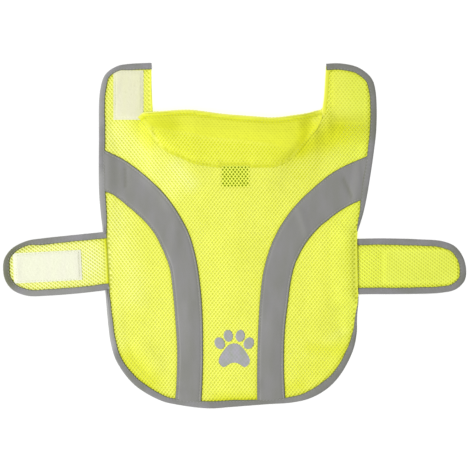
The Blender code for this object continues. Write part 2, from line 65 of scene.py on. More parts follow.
# Outer edges of the bound cloth. The neck edges run from the strap's inner corner to the belly strap, the hem from
# the rolled edge round to the left belly strap, and the belly straps round their ends.
# Columns: x, y and, where it varies, the seen width of the binding
BOUND_EDGES = {
    "neck_left": (
        (-83.0, 172.7, 6.4), (-106.5, 171.5, 6.2), (-117.3, 169.4, 5.1), (-129.0, 161.3, 4.8), (-134.4, 145.0, 5.6),
        (-135.6, 95.0, 6.1), (-135.5, 45.0, 6.4), (-133.8, 23.0, 5.9), (-131.6, 4.4, 3.8)),
    "neck_right": (
        (91.5, 171.8, 6.4), (105.4, 172.1, 6.4), (123.5, 168.0, 6.4), (136.5, 157.5, 6.4), (140.6, 145.5, 6.4),
        (141.7, 110.0, 6.4), (139.3, 85.5, 6.4), (132.4, 40.7, 6.2), (128.6, 22.7, 3.8), (125.4, 12.0, 2.4),
        (122.9, 4.6, 1.0)),
    "hem": (
        (123.6, -61.0, 0.5), (123.5, -68.0, 0.8), (122.7, -76.0, 1.5), (122.2, -86.0, 2.6), (122.1, -96.0, 4.2),
        (118.3, -114.5, 6.0), (105.7, -138.8, 7.0), (92.3, -153.0, 8.0), (75.3, -162.5, 7.2), (58.3, -166.6, 5.8),
        (30.3, -168.6, 5.2), (-4.7, -171.3, 6.8), (-26.0, -172.6, 7.3), (-59.8, -168.4, 5.6), (-74.7, -164.4, 6.0),
        (-100.2, -149.0, 7.0), (-117.7, -126.0, 5.6), (-123.7, -107.5, 5.5), (-127.2, -79.5, 4.6),
        (-129.1, -55.8, 4.0)),
    "strap_left": (
        (-128.7, 3.9), (-165.0, 0.2), (-193.0, -2.8), (-207.2, -5.1), (-222.2, -12.6), (-230.0, -23.0),
        (-231.3, -34.3), (-229.0, -45.0), (-221.7, -54.3), (-207.1, -60.1), (-185.0, -59.9), (-155.0, -57.6),
        (-125.4, -54.2)),
    "strap_right": (
        (111.0, -3.4), (147.4, -2.7), (185.4, -3.7), (208.0, -5.6), (220.4, -10.9), (228.4, -21.9), (231.3, -35.0),
        (229.6, -45.0), (221.0, -53.6), (207.0, -57.0), (165.4, -58.4), (135.4, -58.5), (111.0, -58.9)),
}
# Side of each of these lines on which the cloth lies: +1 to its left, -1 to its right
SIDES = {"neck_left": 1, "neck_right": -1, "hem": -1, "strap_left": 1, "strap_right": -1}
PANEL_EDGES, LEFT_EDGES, RIGHT_EDGES = ("neck_left", "neck_right", "hem"), ("strap_left",), ("strap_right",)

# Plain folded edges of the neck straps, from the collar up to the strap's end. Columns: x, y
INNER_EDGE_LEFT = ((-79.6, 105.6), (-81.6, 123.7), (-82.9, 148.0), (-83.2, 171.6))
INNER_EDGE_RIGHT = ((87.4, 126.0), (89.0, 137.0), (90.6, 160.0), (91.3, 170.7))

# Right side: the panel's edge rolls over here and hides its seam. Columns: x, y
ROLLED_EDGE = ((122.9, 4.6), (122.3, -3.0), (122.5, -26.0), (122.9, -50.0), (123.6, -61.0))
ROLL_EDGE_HEIGHT = 3.0     # underside at the very edge, just over the belly strap's binding
ROLL_CREST_HEIGHT = 4.7    # underside at the top of the roll
ROLL_CREST_AT = 7.0        # crest, in from the edge
ROLL_WIDTH = 30.0          # where the roll has come down to the surface
ROLL_TOP, ROLL_BOTTOM, ROLL_FADE = -1.0, -62.0, 16.0     # full height between these, then it fades
ROLL_SAG = 1.2             # between the belly strap's two tapes

# Seam between the left belly strap and the panel, top and bottom ends. Columns: x, y
STRAP_SEAM_LEFT = np.array(((-128.4, 2.8), (-125.2, -53.2)))
SEAM_CORNER_TOP, SEAM_CORNER_BOTTOM = 4.4, -55.0    # the panel's corners above and below that seam
STRAP_MIDDLE = -31.0       # middle of the right belly strap where it meets the panel

# Collar sections, from the left tip to the right end. Columns: seam x, seam y, fold x, fold y,
# height of the underside at its crest, height of the underside at the fold
COLLAR = (
    (-93.6, 115.0, -96.6, 118.0, 7.0, 7.6), (-90.8, 112.6, -92.8, 121.7, 8.8, 8.0),
    (-83.6, 101.6, -84.2, 123.2, 12.0, 7.8), (-74.6, 88.6, -72.4, 123.8, 14.0, 8.2),
    (-64.6, 81.8, -62.8, 124.5, 14.4, 8.6), (-54.2, 77.6, -52.6, 125.1, 14.0, 9.0),
    (-43.6, 72.6, -42.6, 125.0, 13.4, 9.2), (-30.6, 69.6, -30.6, 123.6, 12.6, 9.2),
    (-12.0, 67.4, -12.0, 121.1, 12.0, 9.0), (10.4, 67.4, 10.4, 119.3, 12.0, 8.8),
    (26.0, 67.8, 24.0, 118.3, 12.4, 8.8), (40.4, 68.4, 35.4, 117.5, 13.0, 8.8),
    (48.4, 71.9, 45.4, 118.0, 13.6, 8.6), (59.8, 79.7, 57.4, 119.7, 14.2, 8.4),
    (68.9, 90.2, 67.4, 121.1, 14.2, 8.2), (75.4, 98.7, 74.4, 122.6, 13.6, 8.0),
    (82.4, 107.0, 81.4, 124.8, 12.4, 7.8), (87.2, 117.6, 86.4, 126.0, 9.6, 8.2),
)
NECK_ALLOWANCE = 4.5             # the panel runs this far in under the collar
NECK_CORNER = (84.4, 125.2)      # the panel's neckline ends here, under the collar's right end
COLLAR_END = np.array(((84.0, 111.0), (87.2, 117.6), (86.4, 126.0)))     # the collar lies flat on the panel here
COLLAR_STITCH = 4.6              # topstitching, in from the fold
# Rise from seam to fold: share of the way, share of the crest's height
COLLAR_PROFILE = ((0.0, 0.0), (0.05, 0.16), (0.10, 0.36), (0.18, 0.64), (0.28, 0.86), (0.38, 0.96), (0.48, 1.0),
                  (0.58, 0.97), (0.70, 0.85), (0.80, 0.66), (0.88, 0.45), (0.94, 0.24), (1.0, 0.0))
# How much lower the soft collar lies than its CAD form, at its crest and at its fold. Columns: x, crest, fold
DROP = ((-94.0, 4.0, 3.0), (-84.0, 4.4, 2.6), (-70.0, 3.4, 1.0), (-40.0, 1.8, 0.0), (20.0, 1.6, 0.0),
        (50.0, 2.8, 0.8), (70.0, 4.4, 2.0), (80.0, 5.2, 3.0), (88.0, 3.8, 3.6))

# Neckline hump: how high the panel's underside stands at the seam, and how far out it reaches.
# Columns: x along the seam, height, reach
HUMP = ((-95.0, 4.2, 40.0), (-83.0, 8.6, 44.0), (-60.0, 9.0, 46.0), (-20.0, 7.0, 44.0), (20.0, 7.0, 44.0),
        (45.0, 7.0, 44.0), (60.0, 6.2, 44.0), (72.0, 6.8, 42.0), (80.0, 8.0, 38.0), (90.0, 5.6, 36.0))
HUMP_TOP, HUMP_FADE = 108.0, 30.0      # up the neck straps the hump dies away from here, over this much
HUMP_TAUT = 30.0       # to the right of this the cloth falls away straight from the seam

# The next tables share these columns: x0, y0, x1, y1 of a line, the amount on it, and its reach to both sides.
# Soft creases of the laid-out panel, as rises
CREASES = ((84.0, -94.0, 101.0, -103.0, 1.0, 14.0), (-92.0, -112.0, -80.0, -130.0, 1.6, 15.0))
# Soft folds of all the laid-out cloth, as rises
FOLDS = (
    (-60.0, 40.0, -40.0, 62.0, 1.4, 20.0), (-105.0, -10.0, -98.0, -60.0, 1.2, 26.0),
    (0.0, -5.0, 4.0, -60.0, 1.0, 34.0), (95.0, -20.0, 88.0, -70.0, 1.2, 22.0),
    (-5.0, -148.0, 15.0, -150.0, 0.9, 16.0), (92.0, 108.0, 92.5, 124.0, 1.3, 9.0),
)
WAVE = 0.35            # half height of the cloth's general unevenness
# Creases pressed into the bands, as rises; the sharpest of them also get a painted shade
BAND_CREASES = (
    (-109.3, 70.0, -108.6, 48.0, -0.30, 2.6), (108.0, 59.0, 117.0, 38.5, -0.28, 2.4),
    (127.0, 72.0, 129.5, 42.0, -0.4, 2.5), (66.0, 24.0, 72.0, 2.0, 0.5, 4.0),
    (-58.0, 10.0, -62.0, -20.0, 0.4, 6.0), (-46.0, -70.0, -44.0, -120.0, 0.35, 6.0),
    (38.0, -80.0, 36.0, -140.0, 0.35, 6.0),
)
CREASE_DARK = ((-109.6, 68.0, -109.2, 50.0), (108.3, 58.0, 117.0, 39.0))
# Painted light and shade on the net: below 0 a painted shade, deeper, in the lee of folds; above 0 a painted light,
# paler than its yarn
NET_PAINTED_LIGHT = (
    (66.0, 88.0, 104.0, 106.0, -0.70, 20.0), (90.0, 90.0, 122.0, 104.0, -0.30, 16.0),
    (122.3, 0.0, 122.8, -60.0, -0.4, 3.5), (50.0, 76.0, 66.0, 86.0, -0.45, 11.0),
    (66.0, 84.0, 76.0, 90.0, -0.40, 9.0), (-58.0, 70.0, -44.0, 52.0, 0.35, 14.0),
    (100.0, 108.0, 126.0, 106.0, -0.45, 22.0), (91.0, 168.0, 98.0, 132.0, -0.30, 18.0),
    (118.0, 160.0, 122.0, 125.0, -0.20, 24.0), (-94.0, 112.0, -84.0, 96.0, -0.55, 15.0),
    (130.0, -31.0, 225.0, -31.0, -0.15, 40.0), (-106.0, -124.0, -84.0, -146.0, -0.58, 20.0),
    (46.0, -157.0, 64.0, -150.0, -0.40, 11.0), (-18.0, -164.0, 20.0, -164.0, -0.6, 13.0),
    (70.0, -138.0, 104.0, -118.0, -0.2, 26.0), (74.0, -112.0, 106.0, -115.0, -0.35, 10.0),
    (92.0, -106.0, 108.0, -97.0, 0.15, 9.0), (-116.0, 98.0, -66.0, 50.0, 0.32, 26.0),
    (92.0, 92.0, 126.0, 92.0, -0.20, 16.0), (-116.0, 20.0, -100.0, -60.0, 0.22, 22.0),
    (-150.0, -28.0, -225.0, -32.0, 0.95, 34.0),
)
SHADED = ((110.0, 112.0, 130.0, 108.0, 0.15, 20.0),)      # where it also looks darker, in the lee of a fold
# Painted light on the tapes, paler; below zero a painted shade, darker
TAPE_PAINTED_LIGHT = (
    (-50.0, -171.0, 50.0, -168.0, -0.22, 30.0), (-224.0, -14.0, -228.0, -46.0, -0.75, 22.0),
    (-190.0, -3.0, -208.0, -5.0, -0.30, 14.0), (-150.0, -58.0, -205.0, -61.0, 0.24, 14.0),
    (-131.0, 156.0, -135.0, 118.0, 0.42, 18.0), (-135.5, 58.0, -133.0, 12.0, 0.45, 14.0),
    (-122.5, -107.0, -128.3, -70.0, 0.72, 16.0), (-35.0, -172.0, -52.0, -170.0, 0.30, 14.0),
    (-95.0, -152.0, -105.0, -143.0, -0.28, 11.0), (98.0, 172.0, 128.0, 164.0, -0.32, 16.0),
    (138.0, 154.0, 141.0, 104.0, -0.32, 14.0), (118.0, -106.0, 93.0, -152.0, -0.28, 16.0),
    (54.0, -167.0, 62.0, -166.0, 0.28, 11.0), (223.0, -14.0, 229.0, -44.0, -0.28, 14.0),
)

# Reflective bands, in sections from the neck edge to the hem. Columns: inner x, inner y, outer x, outer y
BAND_LEFT = (
    (-129.3, 85.2, -129.2, 43.8), (-109.8, 75.3, -121.0, 40.5), (-89.6, 60.2, -107.2, 29.7),
    (-69.0, 40.1, -91.7, 15.9), (-54.7, 19.6, -79.8, 1.4), (-45.1, 0.6, -70.4, -17.5),
    (-38.2, -24.4, -64.6, -34.4), (-34.8, -46.4, -62.0, -54.4), (-32.4, -74.4, -60.0, -76.4),
    (-31.6, -114.4, -57.6, -114.4), (-32.3, -149.4, -58.4, -149.4), (-33.2, -165.0, -59.4, -162.6),
)
BAND_RIGHT = (
    (132.1, 79.3, 124.9, 34.8), (110.5, 70.0, 114.0, 29.8), (95.5, 61.4, 102.4, 22.6), (81.7, 50.3, 91.3, 14.0),
    (65.6, 35.4, 84.1, 7.9), (53.9, 21.8, 73.8, -3.7), (43.2, 5.0, 66.2, -16.0), (35.2, -12.6, 60.0, -29.6),
    (28.6, -36.4, 55.8, -47.4), (25.6, -59.4, 53.6, -64.4), (23.4, -94.4, 50.2, -94.4),
    (22.4, -129.4, 49.2, -129.4), (22.4, -162.9, 50.4, -160.8),
)
# Columns: in from the edge, lift, how dark (the band's dark edge with a painted contact shadow)
BAND_EDGE = ((0.0, 0.10, 1.0), (0.12, 0.46, 1.0), (0.55, 0.70, 0.55), (1.1, 0.78, 0.0), (1.6, 0.76, 0.0),
             (2.2, 0.52, 0.1), (2.8, 0.72, 0.0), (4.4, 0.78, 0.0))
BAND_STITCH = 2.2

# Columns: share of the width, plus, lift, how dark (painted contact shadow along the tape's edges and in its stitch
# groove)
TAPE_PROFILE = (
    (1.0, -0.8, -0.85, 0.5), (0.5, 0.0, -1.05, 0.0), (0.0, 1.4, -1.10, 0.0), (0.0, 0.50, -0.85, 0.0),
    (0.0, 0.12, -0.35, 0.0), (0.0, 0.0, 0.10, 0.0), (0.0, 0.18, 0.60, 0.0), (0.0, 0.65, 0.92, 0.0),
    (0.0, 1.7, 1.08, 0.0), (0.5, 0.2, 1.12, 0.0), (1.0, -1.9, 1.00, 0.0), (1.0, -1.25, 0.84, 0.15),
    (1.0, -0.75, 0.98, 0.1), (1.0, -0.35, 0.86, 0.6), (1.0, 0.05, 0.45, 1.0), (1.0, -0.05, 0.15, 1.0),
)
PUCKER = 3.3           # spacing of the tape's puckers and stitches
TAPE_SHOWS = 2.4       # a tape's lower leaf shows through the holes this far from its seen edge

# Hook-and-loop pads: centre x, centre y, length along the strap, width, turn in degrees from +X to the
# strap's end, and how much is cut off the end's right and left corners, next to the binding
PAD_NECK_LEFT = (-106.1, 140.4, 49.5, 30.0, 90.0, 0.0, 8.0)
PAD_BELLY_LEFT = (-187.0, -31.0, 68.0, 30.0, 183.0, 6.0, 6.0)
PAD_NECK_RIGHT = (114.0, 139.0, 49.5, 30.0, 90.0, 9.0, 0.0)
PAD_BELLY_RIGHT = (186.0, -31.0, 68.0, 30.0, 0.0, 5.0, 5.0)
PAD_RISE = 1.3         # the right straps stand this high over their pads, which sink into the net
PAD_REACH = 14.0       # this far round the pad, which takes in the strap's bound edges
PAD_FALL = 18.0        # and come down to the surface over this much more

LABEL_BOX = (-12.4, 14.2, 48.4, 66.4)      # label under the panel: left, right, bottom, top
LABEL_MIDDLE, LABEL_DRAG = 0.9, 2.4        # the label's stiff top edge drags the collar's seam this far up

PAW_CENTRE, PAW_HALF_WIDTH = (-0.4, -117.6), 16.0
# Right half of the main pad from its top to its hollow foot, in half widths. Columns: x, y
PAW_PAD_SHAPE = ((0.0, 0.62), (0.42, 0.46), (0.98, -0.52), (0.66, -0.86), (0.30, -0.66), (0.0, -0.58))
PAW_TOE_POINT, PAW_TOE_RADIUS = (-0.4, -115.6), 16.6          # the toes' centres lie round this point
# Columns: angle round that point, half width, half height, turn
PAW_TOES = ((151.0, 5.0, 6.2, 28.0), (111.0, 4.7, 6.0, 8.0), (69.0, 4.7, 6.0, -8.0), (29.0, 5.0, 6.2, -28.0))


# ---------------------------------------------------------------- lines in plan

def smooth_line(rows, step, closed=False):
    """Points about `step` apart on a centripetal Catmull-Rom curve through every row."""
    rows = np.array(rows, float)
    if closed:
        knots = np.vstack([rows[-1:], rows, rows[:2]])
    else:
        knots = np.vstack([2.0 * rows[0] - rows[1], rows, 2.0 * rows[-1] - rows[-2]])
    line = [] if closed else [knots[1]]
    for p0, p1, p2, p3 in zip(knots, knots[1:], knots[2:], knots[3:]):
        t1, gap, last = (np.linalg.norm((q - p)[:2]) ** 0.5 for p, q in ((p0, p1), (p1, p2), (p2, p3)))
        t2 = t1 + gap
        t3 = t2 + last
        count = max(1, round(np.linalg.norm((p2 - p1)[:2]) / step))
        for k in range(1, count + 1):
            t = t1 + (t2 - t1) * k / count
            a1 = p0 * (t1 - t) / t1 + p1 * t / t1
            a2 = p1 * (t2 - t) / (t2 - t1) + p2 * (t - t1) / (t2 - t1)
            a3 = p2 * (t3 - t) / (t3 - t2) + p3 * (t - t2) / (t3 - t2)
            b1 = a1 * (t2 - t) / t2 + a2 * t / t2
            b2 = a2 * (t3 - t) / (t3 - t1) + a3 * (t - t1) / (t3 - t1)
            line.append(b1 * (t2 - t) / (t2 - t1) + b2 * (t - t1) / (t2 - t1))
    return np.array(line)


def fine(rows):
    return smooth_line(rows, FINE_STEP)


def length_along(line):
    """Distance from the line's start to each of its points."""
    return np.concatenate([[0.0], np.cumsum(np.linalg.norm(np.diff(line, axis=0), axis=1))])


def resample(line, step):
    """Points evenly `step` apart along a line."""
    s = length_along(line)
    at = np.linspace(0.0, s[-1], max(2, round(s[-1] / step) + 1))
    return np.column_stack([np.interp(at, s, line[:, k]) for k in range(line.shape[1])])


def closed(loop):
    """The loop with its first point repeated at its end."""
    return np.vstack([loop, loop[:1]])


def offset(line, distance):
    """The line moved sideways to its left, seen along its direction; distance may vary along it."""
    run = np.gradient(line[:, :2], axis=0)
    run /= np.linalg.norm(run, axis=1)[:, None]
    left = np.stack([-run[:, 1], run[:, 0]], axis=1)
    return line[:, :2] + left * np.broadcast_to(distance, len(line))[:, None]


def spots_on(points, line):
    """For each point, the nearest spot on each stretch of an open line, and its distance in plan."""
    starts, runs = line[:-1], np.diff(line, axis=0)
    toward = points[:, None, :] - starts
    along = np.clip((toward * runs).sum(2) / (runs * runs).sum(1), 0.0, 1.0)
    near = starts + along[..., None] * runs
    return near, np.linalg.norm(points[:, None, :] - near, axis=2)


def distance_to(points, line):
    """Distance in plan from each point to the nearest spot on an open line."""
    return spots_on(points, line)[1].min(axis=1)


def nearness(plan, *lines):
    """Distance to the nearest of some long lines, for very many points."""
    return np.concatenate([np.min([distance_to(part, line) for line in lines], axis=0)
                           for part in np.array_split(plan, 40)])


def inside(points, loop):
    """True for each point that lies inside a closed loop."""
    x, y = points[:, 0, None], points[:, 1, None]
    x0, y0 = loop[:, 0], loop[:, 1]
    x1, y1 = np.roll(x0, -1), np.roll(y0, -1)
    height = np.where(y1 == y0, 1.0, y1 - y0)
    at = x0 + (y - y0) * (x1 - x0) / height
    return (((y0 > y) != (y1 > y)) & (x < at)).sum(axis=1) % 2 == 1


def ease(t, over=1.0):
    """0 to 1 as t goes from 0 to `over`, smooth at both ends."""
    t = np.clip(t / over, 0.0, 1.0)
    return t * t * (3.0 - 2.0 * t)


def fall(t, over=1.0):
    """1 to 0 as t goes from 0 to `over`, smooth at both ends."""
    return 1.0 - ease(t, over)


def bell(t, width):
    """1 at t = 0, dying away on both sides of it."""
    return np.exp(-(t / width) ** 2)


def spread(points, rows):
    """One line of values for each row of x0, y0, x1, y1, amount, reach."""
    return np.array([row[4] * fall(distance_to(points, np.reshape(row[:4], (2, 2))), row[5]) for row in rows])


def turned(degrees):
    return math.cos(math.radians(degrees)), math.sin(math.radians(degrees))


def pad_loop(pad):
    """Corners of a pad, counterclockwise, with the two at the strap's end cut off."""
    x, y, length, width, turn, cut_right, cut_left = pad
    c, s = turned(turn)
    end, side = length / 2.0, width / 2.0
    corners = [(-end, -side), (end - cut_right, -side), (end, -side + cut_right)]
    corners += [(end, side - cut_left), (end - cut_left, side), (-end, side)]
    kept = [corner for corner, after in zip(corners, corners[1:] + corners[:1]) if corner != after]
    return np.array([(x + c * i - s * j, y + s * i + c * j) for i, j in kept])


# ---------------------------------------------------------------- height of the cloth

for name in LEFT_EDGES + RIGHT_EDGES:
    BOUND_EDGES[name] = [(*row, TAPE_WIDTH) for row in BOUND_EDGES[name]]
EDGES = {name: smooth_line(rows, EDGE_STEP) for name, rows in BOUND_EDGES.items()}
FINE_EDGES = {name: fine(rows) for name, rows in BOUND_EDGES.items()}
# The left strap's tape draws in where the strap's end turns
FINE_EDGES["strap_left"][:, 2] *= 1.0 - 0.27 * fall(
    distance_to(FINE_EDGES["strap_left"][:, :2], np.array(((-210.0, -6.0), (-226.0, -17.0)))), 16.0)
ROLLED = smooth_line(ROLLED_EDGE, EDGE_STEP)
SEAM = smooth_line(COLLAR, COLLAR_STEP)[:, 0:2]

COLLAR_FINE = fine(COLLAR)
COLLAR_FINE[:, 1] += LABEL_DRAG * ease(16.0 - np.abs(COLLAR_FINE[:, 0] - LABEL_MIDDLE), 4.0)
SEAM_FINE, FOLD_FINE = COLLAR_FINE[:, 0:2], COLLAR_FINE[:, 2:4]


def near_pad(points, pad):
    """Distance to a pad, 0 on it."""
    loop = pad_loop(pad)
    away = distance_to(points, closed(loop))
    away[inside(points, loop)] = 0.0
    return away


def hump(points):
    """The panel stands up towards the neckline, where the collar pulls it off the surface."""
    x, height, reach = np.array(HUMP).T
    out = np.clip(distance_to(points, SEAM) / np.interp(points[:, 0], x, reach), 0.0, 1.0)
    rounded, taut = fall(out), (1.0 - out) ** 2.1
    shape = rounded + (taut - rounded) * ease(points[:, 0] - HUMP_TAUT, 25.0)
    return np.interp(points[:, 0], x, height) * shape * fall(points[:, 1] - HUMP_TOP, HUMP_FADE)


def roll(points):
    """The rolled right edge, which passes over the belly strap."""
    away = distance_to(points, ROLLED)
    rise = ROLL_EDGE_HEIGHT + (ROLL_CREST_HEIGHT - ROLL_EDGE_HEIGHT) * ease(away, ROLL_CREST_AT)
    down = ROLL_CREST_HEIGHT * fall(away - ROLL_CREST_AT, ROLL_WIDTH - ROLL_CREST_AT)
    ends = fall(points[:, 1] - ROLL_TOP, ROLL_FADE) * fall(ROLL_BOTTOM - points[:, 1], ROLL_FADE)
    return np.minimum(rise, down) * ends


def waves(points):
    """Smooth irregular field from about -1 to 1, for cloth that doesn't lie quite flat."""
    x, y = points[:, 0], points[:, 1]
    total = np.sin(x / 17.0 + 0.4) * np.sin(y / 21.0 + 1.9)
    total += 0.7 * np.sin((x + 0.8 * y) / 13.0 + 2.2) + 0.5 * np.sin((0.6 * x - y) / 9.5 + 0.7)
    return total / 2.2


def laid(points, names, folds=0.0, pad=None, soft=1.0):
    """Middle of a net that is bound along the named edges, over its folds and over a pad beneath it. Its soft
    folds die out under the tapes."""
    edge = np.min([distance_to(points, EDGES[name][:, :2]) for name in names], axis=0)
    under = np.maximum(folds, RIM_LIFT * fall(edge - RIM_FLAT, RIM_FALL))
    if pad:
        under = np.maximum(under, PAD_RISE * fall(near_pad(points, pad) - PAD_REACH, PAD_FALL))
    uneven = WAVE * (1.0 + waves(points)) + spread(points, FOLDS).sum(axis=0)
    return under + CLOTH_MID + soft * uneven * ease(edge - 5.0, 12.0)


def panel_surface(points):
    """Middle of the panel's net."""
    folds = np.maximum(hump(points), roll(points)) + spread(points, CREASES).sum(axis=0)
    sag = ROLL_SAG * ease(points[:, 0] - 100.0, 14.0) * ease(22.0 - np.abs(points[:, 1] - STRAP_MIDDLE), 8.0)
    return laid(points, PANEL_EDGES, folds, PAD_NECK_RIGHT) - sag


def collar_surface(points):
    """Middle of the collar's upper layer."""
    x = points[:, 0]
    from_seam, from_fold = distance_to(points, SEAM_FINE), distance_to(points, FOLD_FINE)
    up = from_seam / np.maximum(from_seam + from_fold, 1e-6)
    at_seam = np.interp(x, SEAM_FINE[:, 0], PANEL(SEAM_FINE)) + 0.5 - 0.25 * ease(x - 45.0, 20.0)
    drop = np.array(DROP).T
    crest = np.interp(x, SEAM_FINE[:, 0], COLLAR_FINE[:, 4]) - np.interp(x, drop[0], drop[1])
    at_fold = np.interp(x, FOLD_FINE[:, 0], COLLAR_FINE[:, 5]) - np.interp(x, drop[0], drop[2])
    straight = at_seam + (at_fold - at_seam) * up
    z = straight + (crest - straight) * np.interp(up, *zip(*COLLAR_PROFILE))
    z += (COLLAR_WALL - 0.9) * ease(from_seam, 9.0)
    z -= 0.9 * ease(1.0 - from_fold / 1.4)
    z -= 0.75 * bell(from_fold - COLLAR_STITCH, 0.9)
    z += 0.5 * waves(points * 1.3) * ease(from_seam, 8.0) * ease(from_fold, 10.0)
    lying = fall(distance_to(points, COLLAR_END), 22.0)
    z += (PANEL(points) + 0.2 - z) * lying
    return np.maximum(z, PANEL(points) + 0.4 - 0.2 * lying + 0.9 * fall(near_pad(points, PAD_NECK_LEFT), 4.0))


class Field:
    """Heights over the layout on a fine square grid, read by linear steps between its points."""

    STEP = 1.0
    LOW = np.array((-240.0, -182.0))
    HIGH = np.array((242.0, 182.0))

    def __init__(self, height):
        self.count = np.ceil((self.HIGH - self.LOW) / self.STEP).astype(int) + 1
        x, y = (low + self.STEP * np.arange(n) for low, n in zip(self.LOW, self.count))
        gx, gy = np.meshgrid(x, y)
        flat = np.column_stack([gx.ravel(), gy.ravel()])
        self.z = np.concatenate([height(part) for part in np.array_split(flat, 24)]).reshape(gx.shape)

    def __call__(self, points):
        at = (np.asarray(points)[:, :2] - self.LOW) / self.STEP
        cell = np.clip(at.astype(int), 0, self.count - 2)
        (u, v), (i, j) = (at - cell).T, cell.T
        low = self.z[j, i] * (1.0 - u) + self.z[j, i + 1] * u
        high = self.z[j + 1, i] * (1.0 - u) + self.z[j + 1, i + 1] * u
        return low * (1.0 - v) + high * v


PANEL = Field(panel_surface)
STRAP_L = Field(lambda points: laid(points, LEFT_EDGES))
STRAP_R = Field(lambda points: laid(points, RIGHT_EDGES, pad=PAD_BELLY_RIGHT, soft=0.6))
COLLAR_TOP = Field(lambda points: np.where(
    (points[:, 1] > 55.0) & (np.abs(points[:, 0]) < 110.0), collar_surface(points), 0.0))


# ---------------------------------------------------------------- making pieces

def add_piece(name, points, faces, look, replaces=(), values=None):
    """One named object from points in millimetres, riding on the part's one body."""
    mesh = bpy.data.meshes.new(name)
    mesh.from_pydata((np.asarray(points) * MM).tolist(), [], faces)
    mesh.materials.append(look)
    mesh.shade_smooth()
    for key, value in (values or {}).items():
        mesh.attributes.new(key, "FLOAT", "POINT").data.foreach_set("value", np.asarray(value, np.float32))
    thing = bpy.data.objects.new(name, mesh)
    bpy.context.scene.collection.objects.link(thing)
    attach(thing, "root")
    if replaces:
        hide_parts(*replaces)
    return thing


def flat_map(thing):
    """A plan map of the piece, for surfaces made of very many small faces."""
    mesh = thing.data
    corner, place = np.zeros(len(mesh.loops), np.int32), np.zeros(len(mesh.vertices) * 3, np.float32)
    mesh.loops.foreach_get("vertex_index", corner)
    mesh.vertices.foreach_get("co", place)
    plan = place.reshape(-1, 3)[:, :2] / MM
    uv = (plan[corner] + 245.0) / 490.0
    mesh.uv_layers.new(name="OFBake").data.foreach_set("uv", uv.astype(np.float32).ravel())
    return thing


def flipped(faces, flip=True):
    return [face[::-1] for face in faces] if flip else faces


def grid_faces(rows, columns, start=0, around=False):
    """Quads between equal rows of points."""
    j, i = np.mgrid[0:rows - 1, 0:columns if around else columns - 1]
    after = (i + 1) % columns
    quads = np.stack([j * columns + i, j * columns + after, (j + 1) * columns + after, (j + 1) * columns + i], -1)
    return (quads.reshape(-1, 4) + start).tolist()


def wall_faces(top, foot, count):
    """Quads between two closed rings of points."""
    return [(top + k, foot + k, foot + (k + 1) % count, top + (k + 1) % count) for k in range(count)]


def add_stitches(name, lines, height, look, pitch=2.9, length=2.2, radius=0.26, lift=0.1):
    """Threads laid end to end along lines, each a short tapered bead that dips at its ends, all one mesh."""
    points, faces = [], []
    rings = ((-0.5, 0.35, -0.30), (-0.32, 0.9, 0.0), (0.0, 1.0, 0.06), (0.32, 0.9, 0.0), (0.5, 0.35, -0.30))
    around = np.linspace(0.0, CIRCLE, 6)[:-1]
    for line in lines:
        spots = resample(line, pitch)
        middles, runs = (spots[1:] + spots[:-1]) / 2.0, np.diff(spots, axis=0)
        runs /= np.linalg.norm(runs, axis=1)[:, None]
        for middle, run in zip(middles, runs):
            across = np.array((-run[1], run[0]))
            centres = middle + np.outer([r[0] * length for r in rings], run)
            z = height(centres) + lift + np.array([r[2] for r in rings])
            faces += grid_faces(len(rings), len(around), len(points), around=True)
            for centre, ring, level in zip(centres, rings, z):
                for a in around:
                    plan = centre + across * radius * ring[1] * math.cos(a) * 1.15
                    points.append((plan[0], plan[1], level + radius * ring[1] * math.sin(a)))
    return add_piece(name, points, flipped(faces), look)


# ---------------------------------------------------------------- the net

WALE, COURSE = 3.53, 2.26      # spacing of the holes along a row, and between staggered rows
REPEAT = np.array((WALE, 2.0 * COURSE))
KNOT = (WALE * WALE / 4.0 + COURSE * COURSE) / (2.0 * COURSE)    # from a hole's middle to its two knots
HOLE_TOP, HOLE_FOOT = (1.20, 1.28), (0.22, 0.26)    # half width, half height of the funnel's mouth and foot
HOLE_LEAN = 0.35       # the holes lean over to one side, which gives the net its diagonal lines
KNOT_RISE = 0.22
HOLE_DEPTH = 0.55


def warp(points):
    """The net's slight stretch out of true, the same everywhere that is drawn on it."""
    x, y = points[:, 0], points[:, 1]
    dx = 0.9 * np.sin(y / 37.0 + 0.6) + 0.5 * np.sin((x + y) / 51.0 + 2.0)
    dy = 0.8 * np.sin(x / 43.0 + 1.1) + 0.5 * np.sin((x - y) / 39.0)
    return np.column_stack([dx, dy])


def same(points):
    return np.ones(len(points))


def even_lean(points):
    return HOLE_LEAN


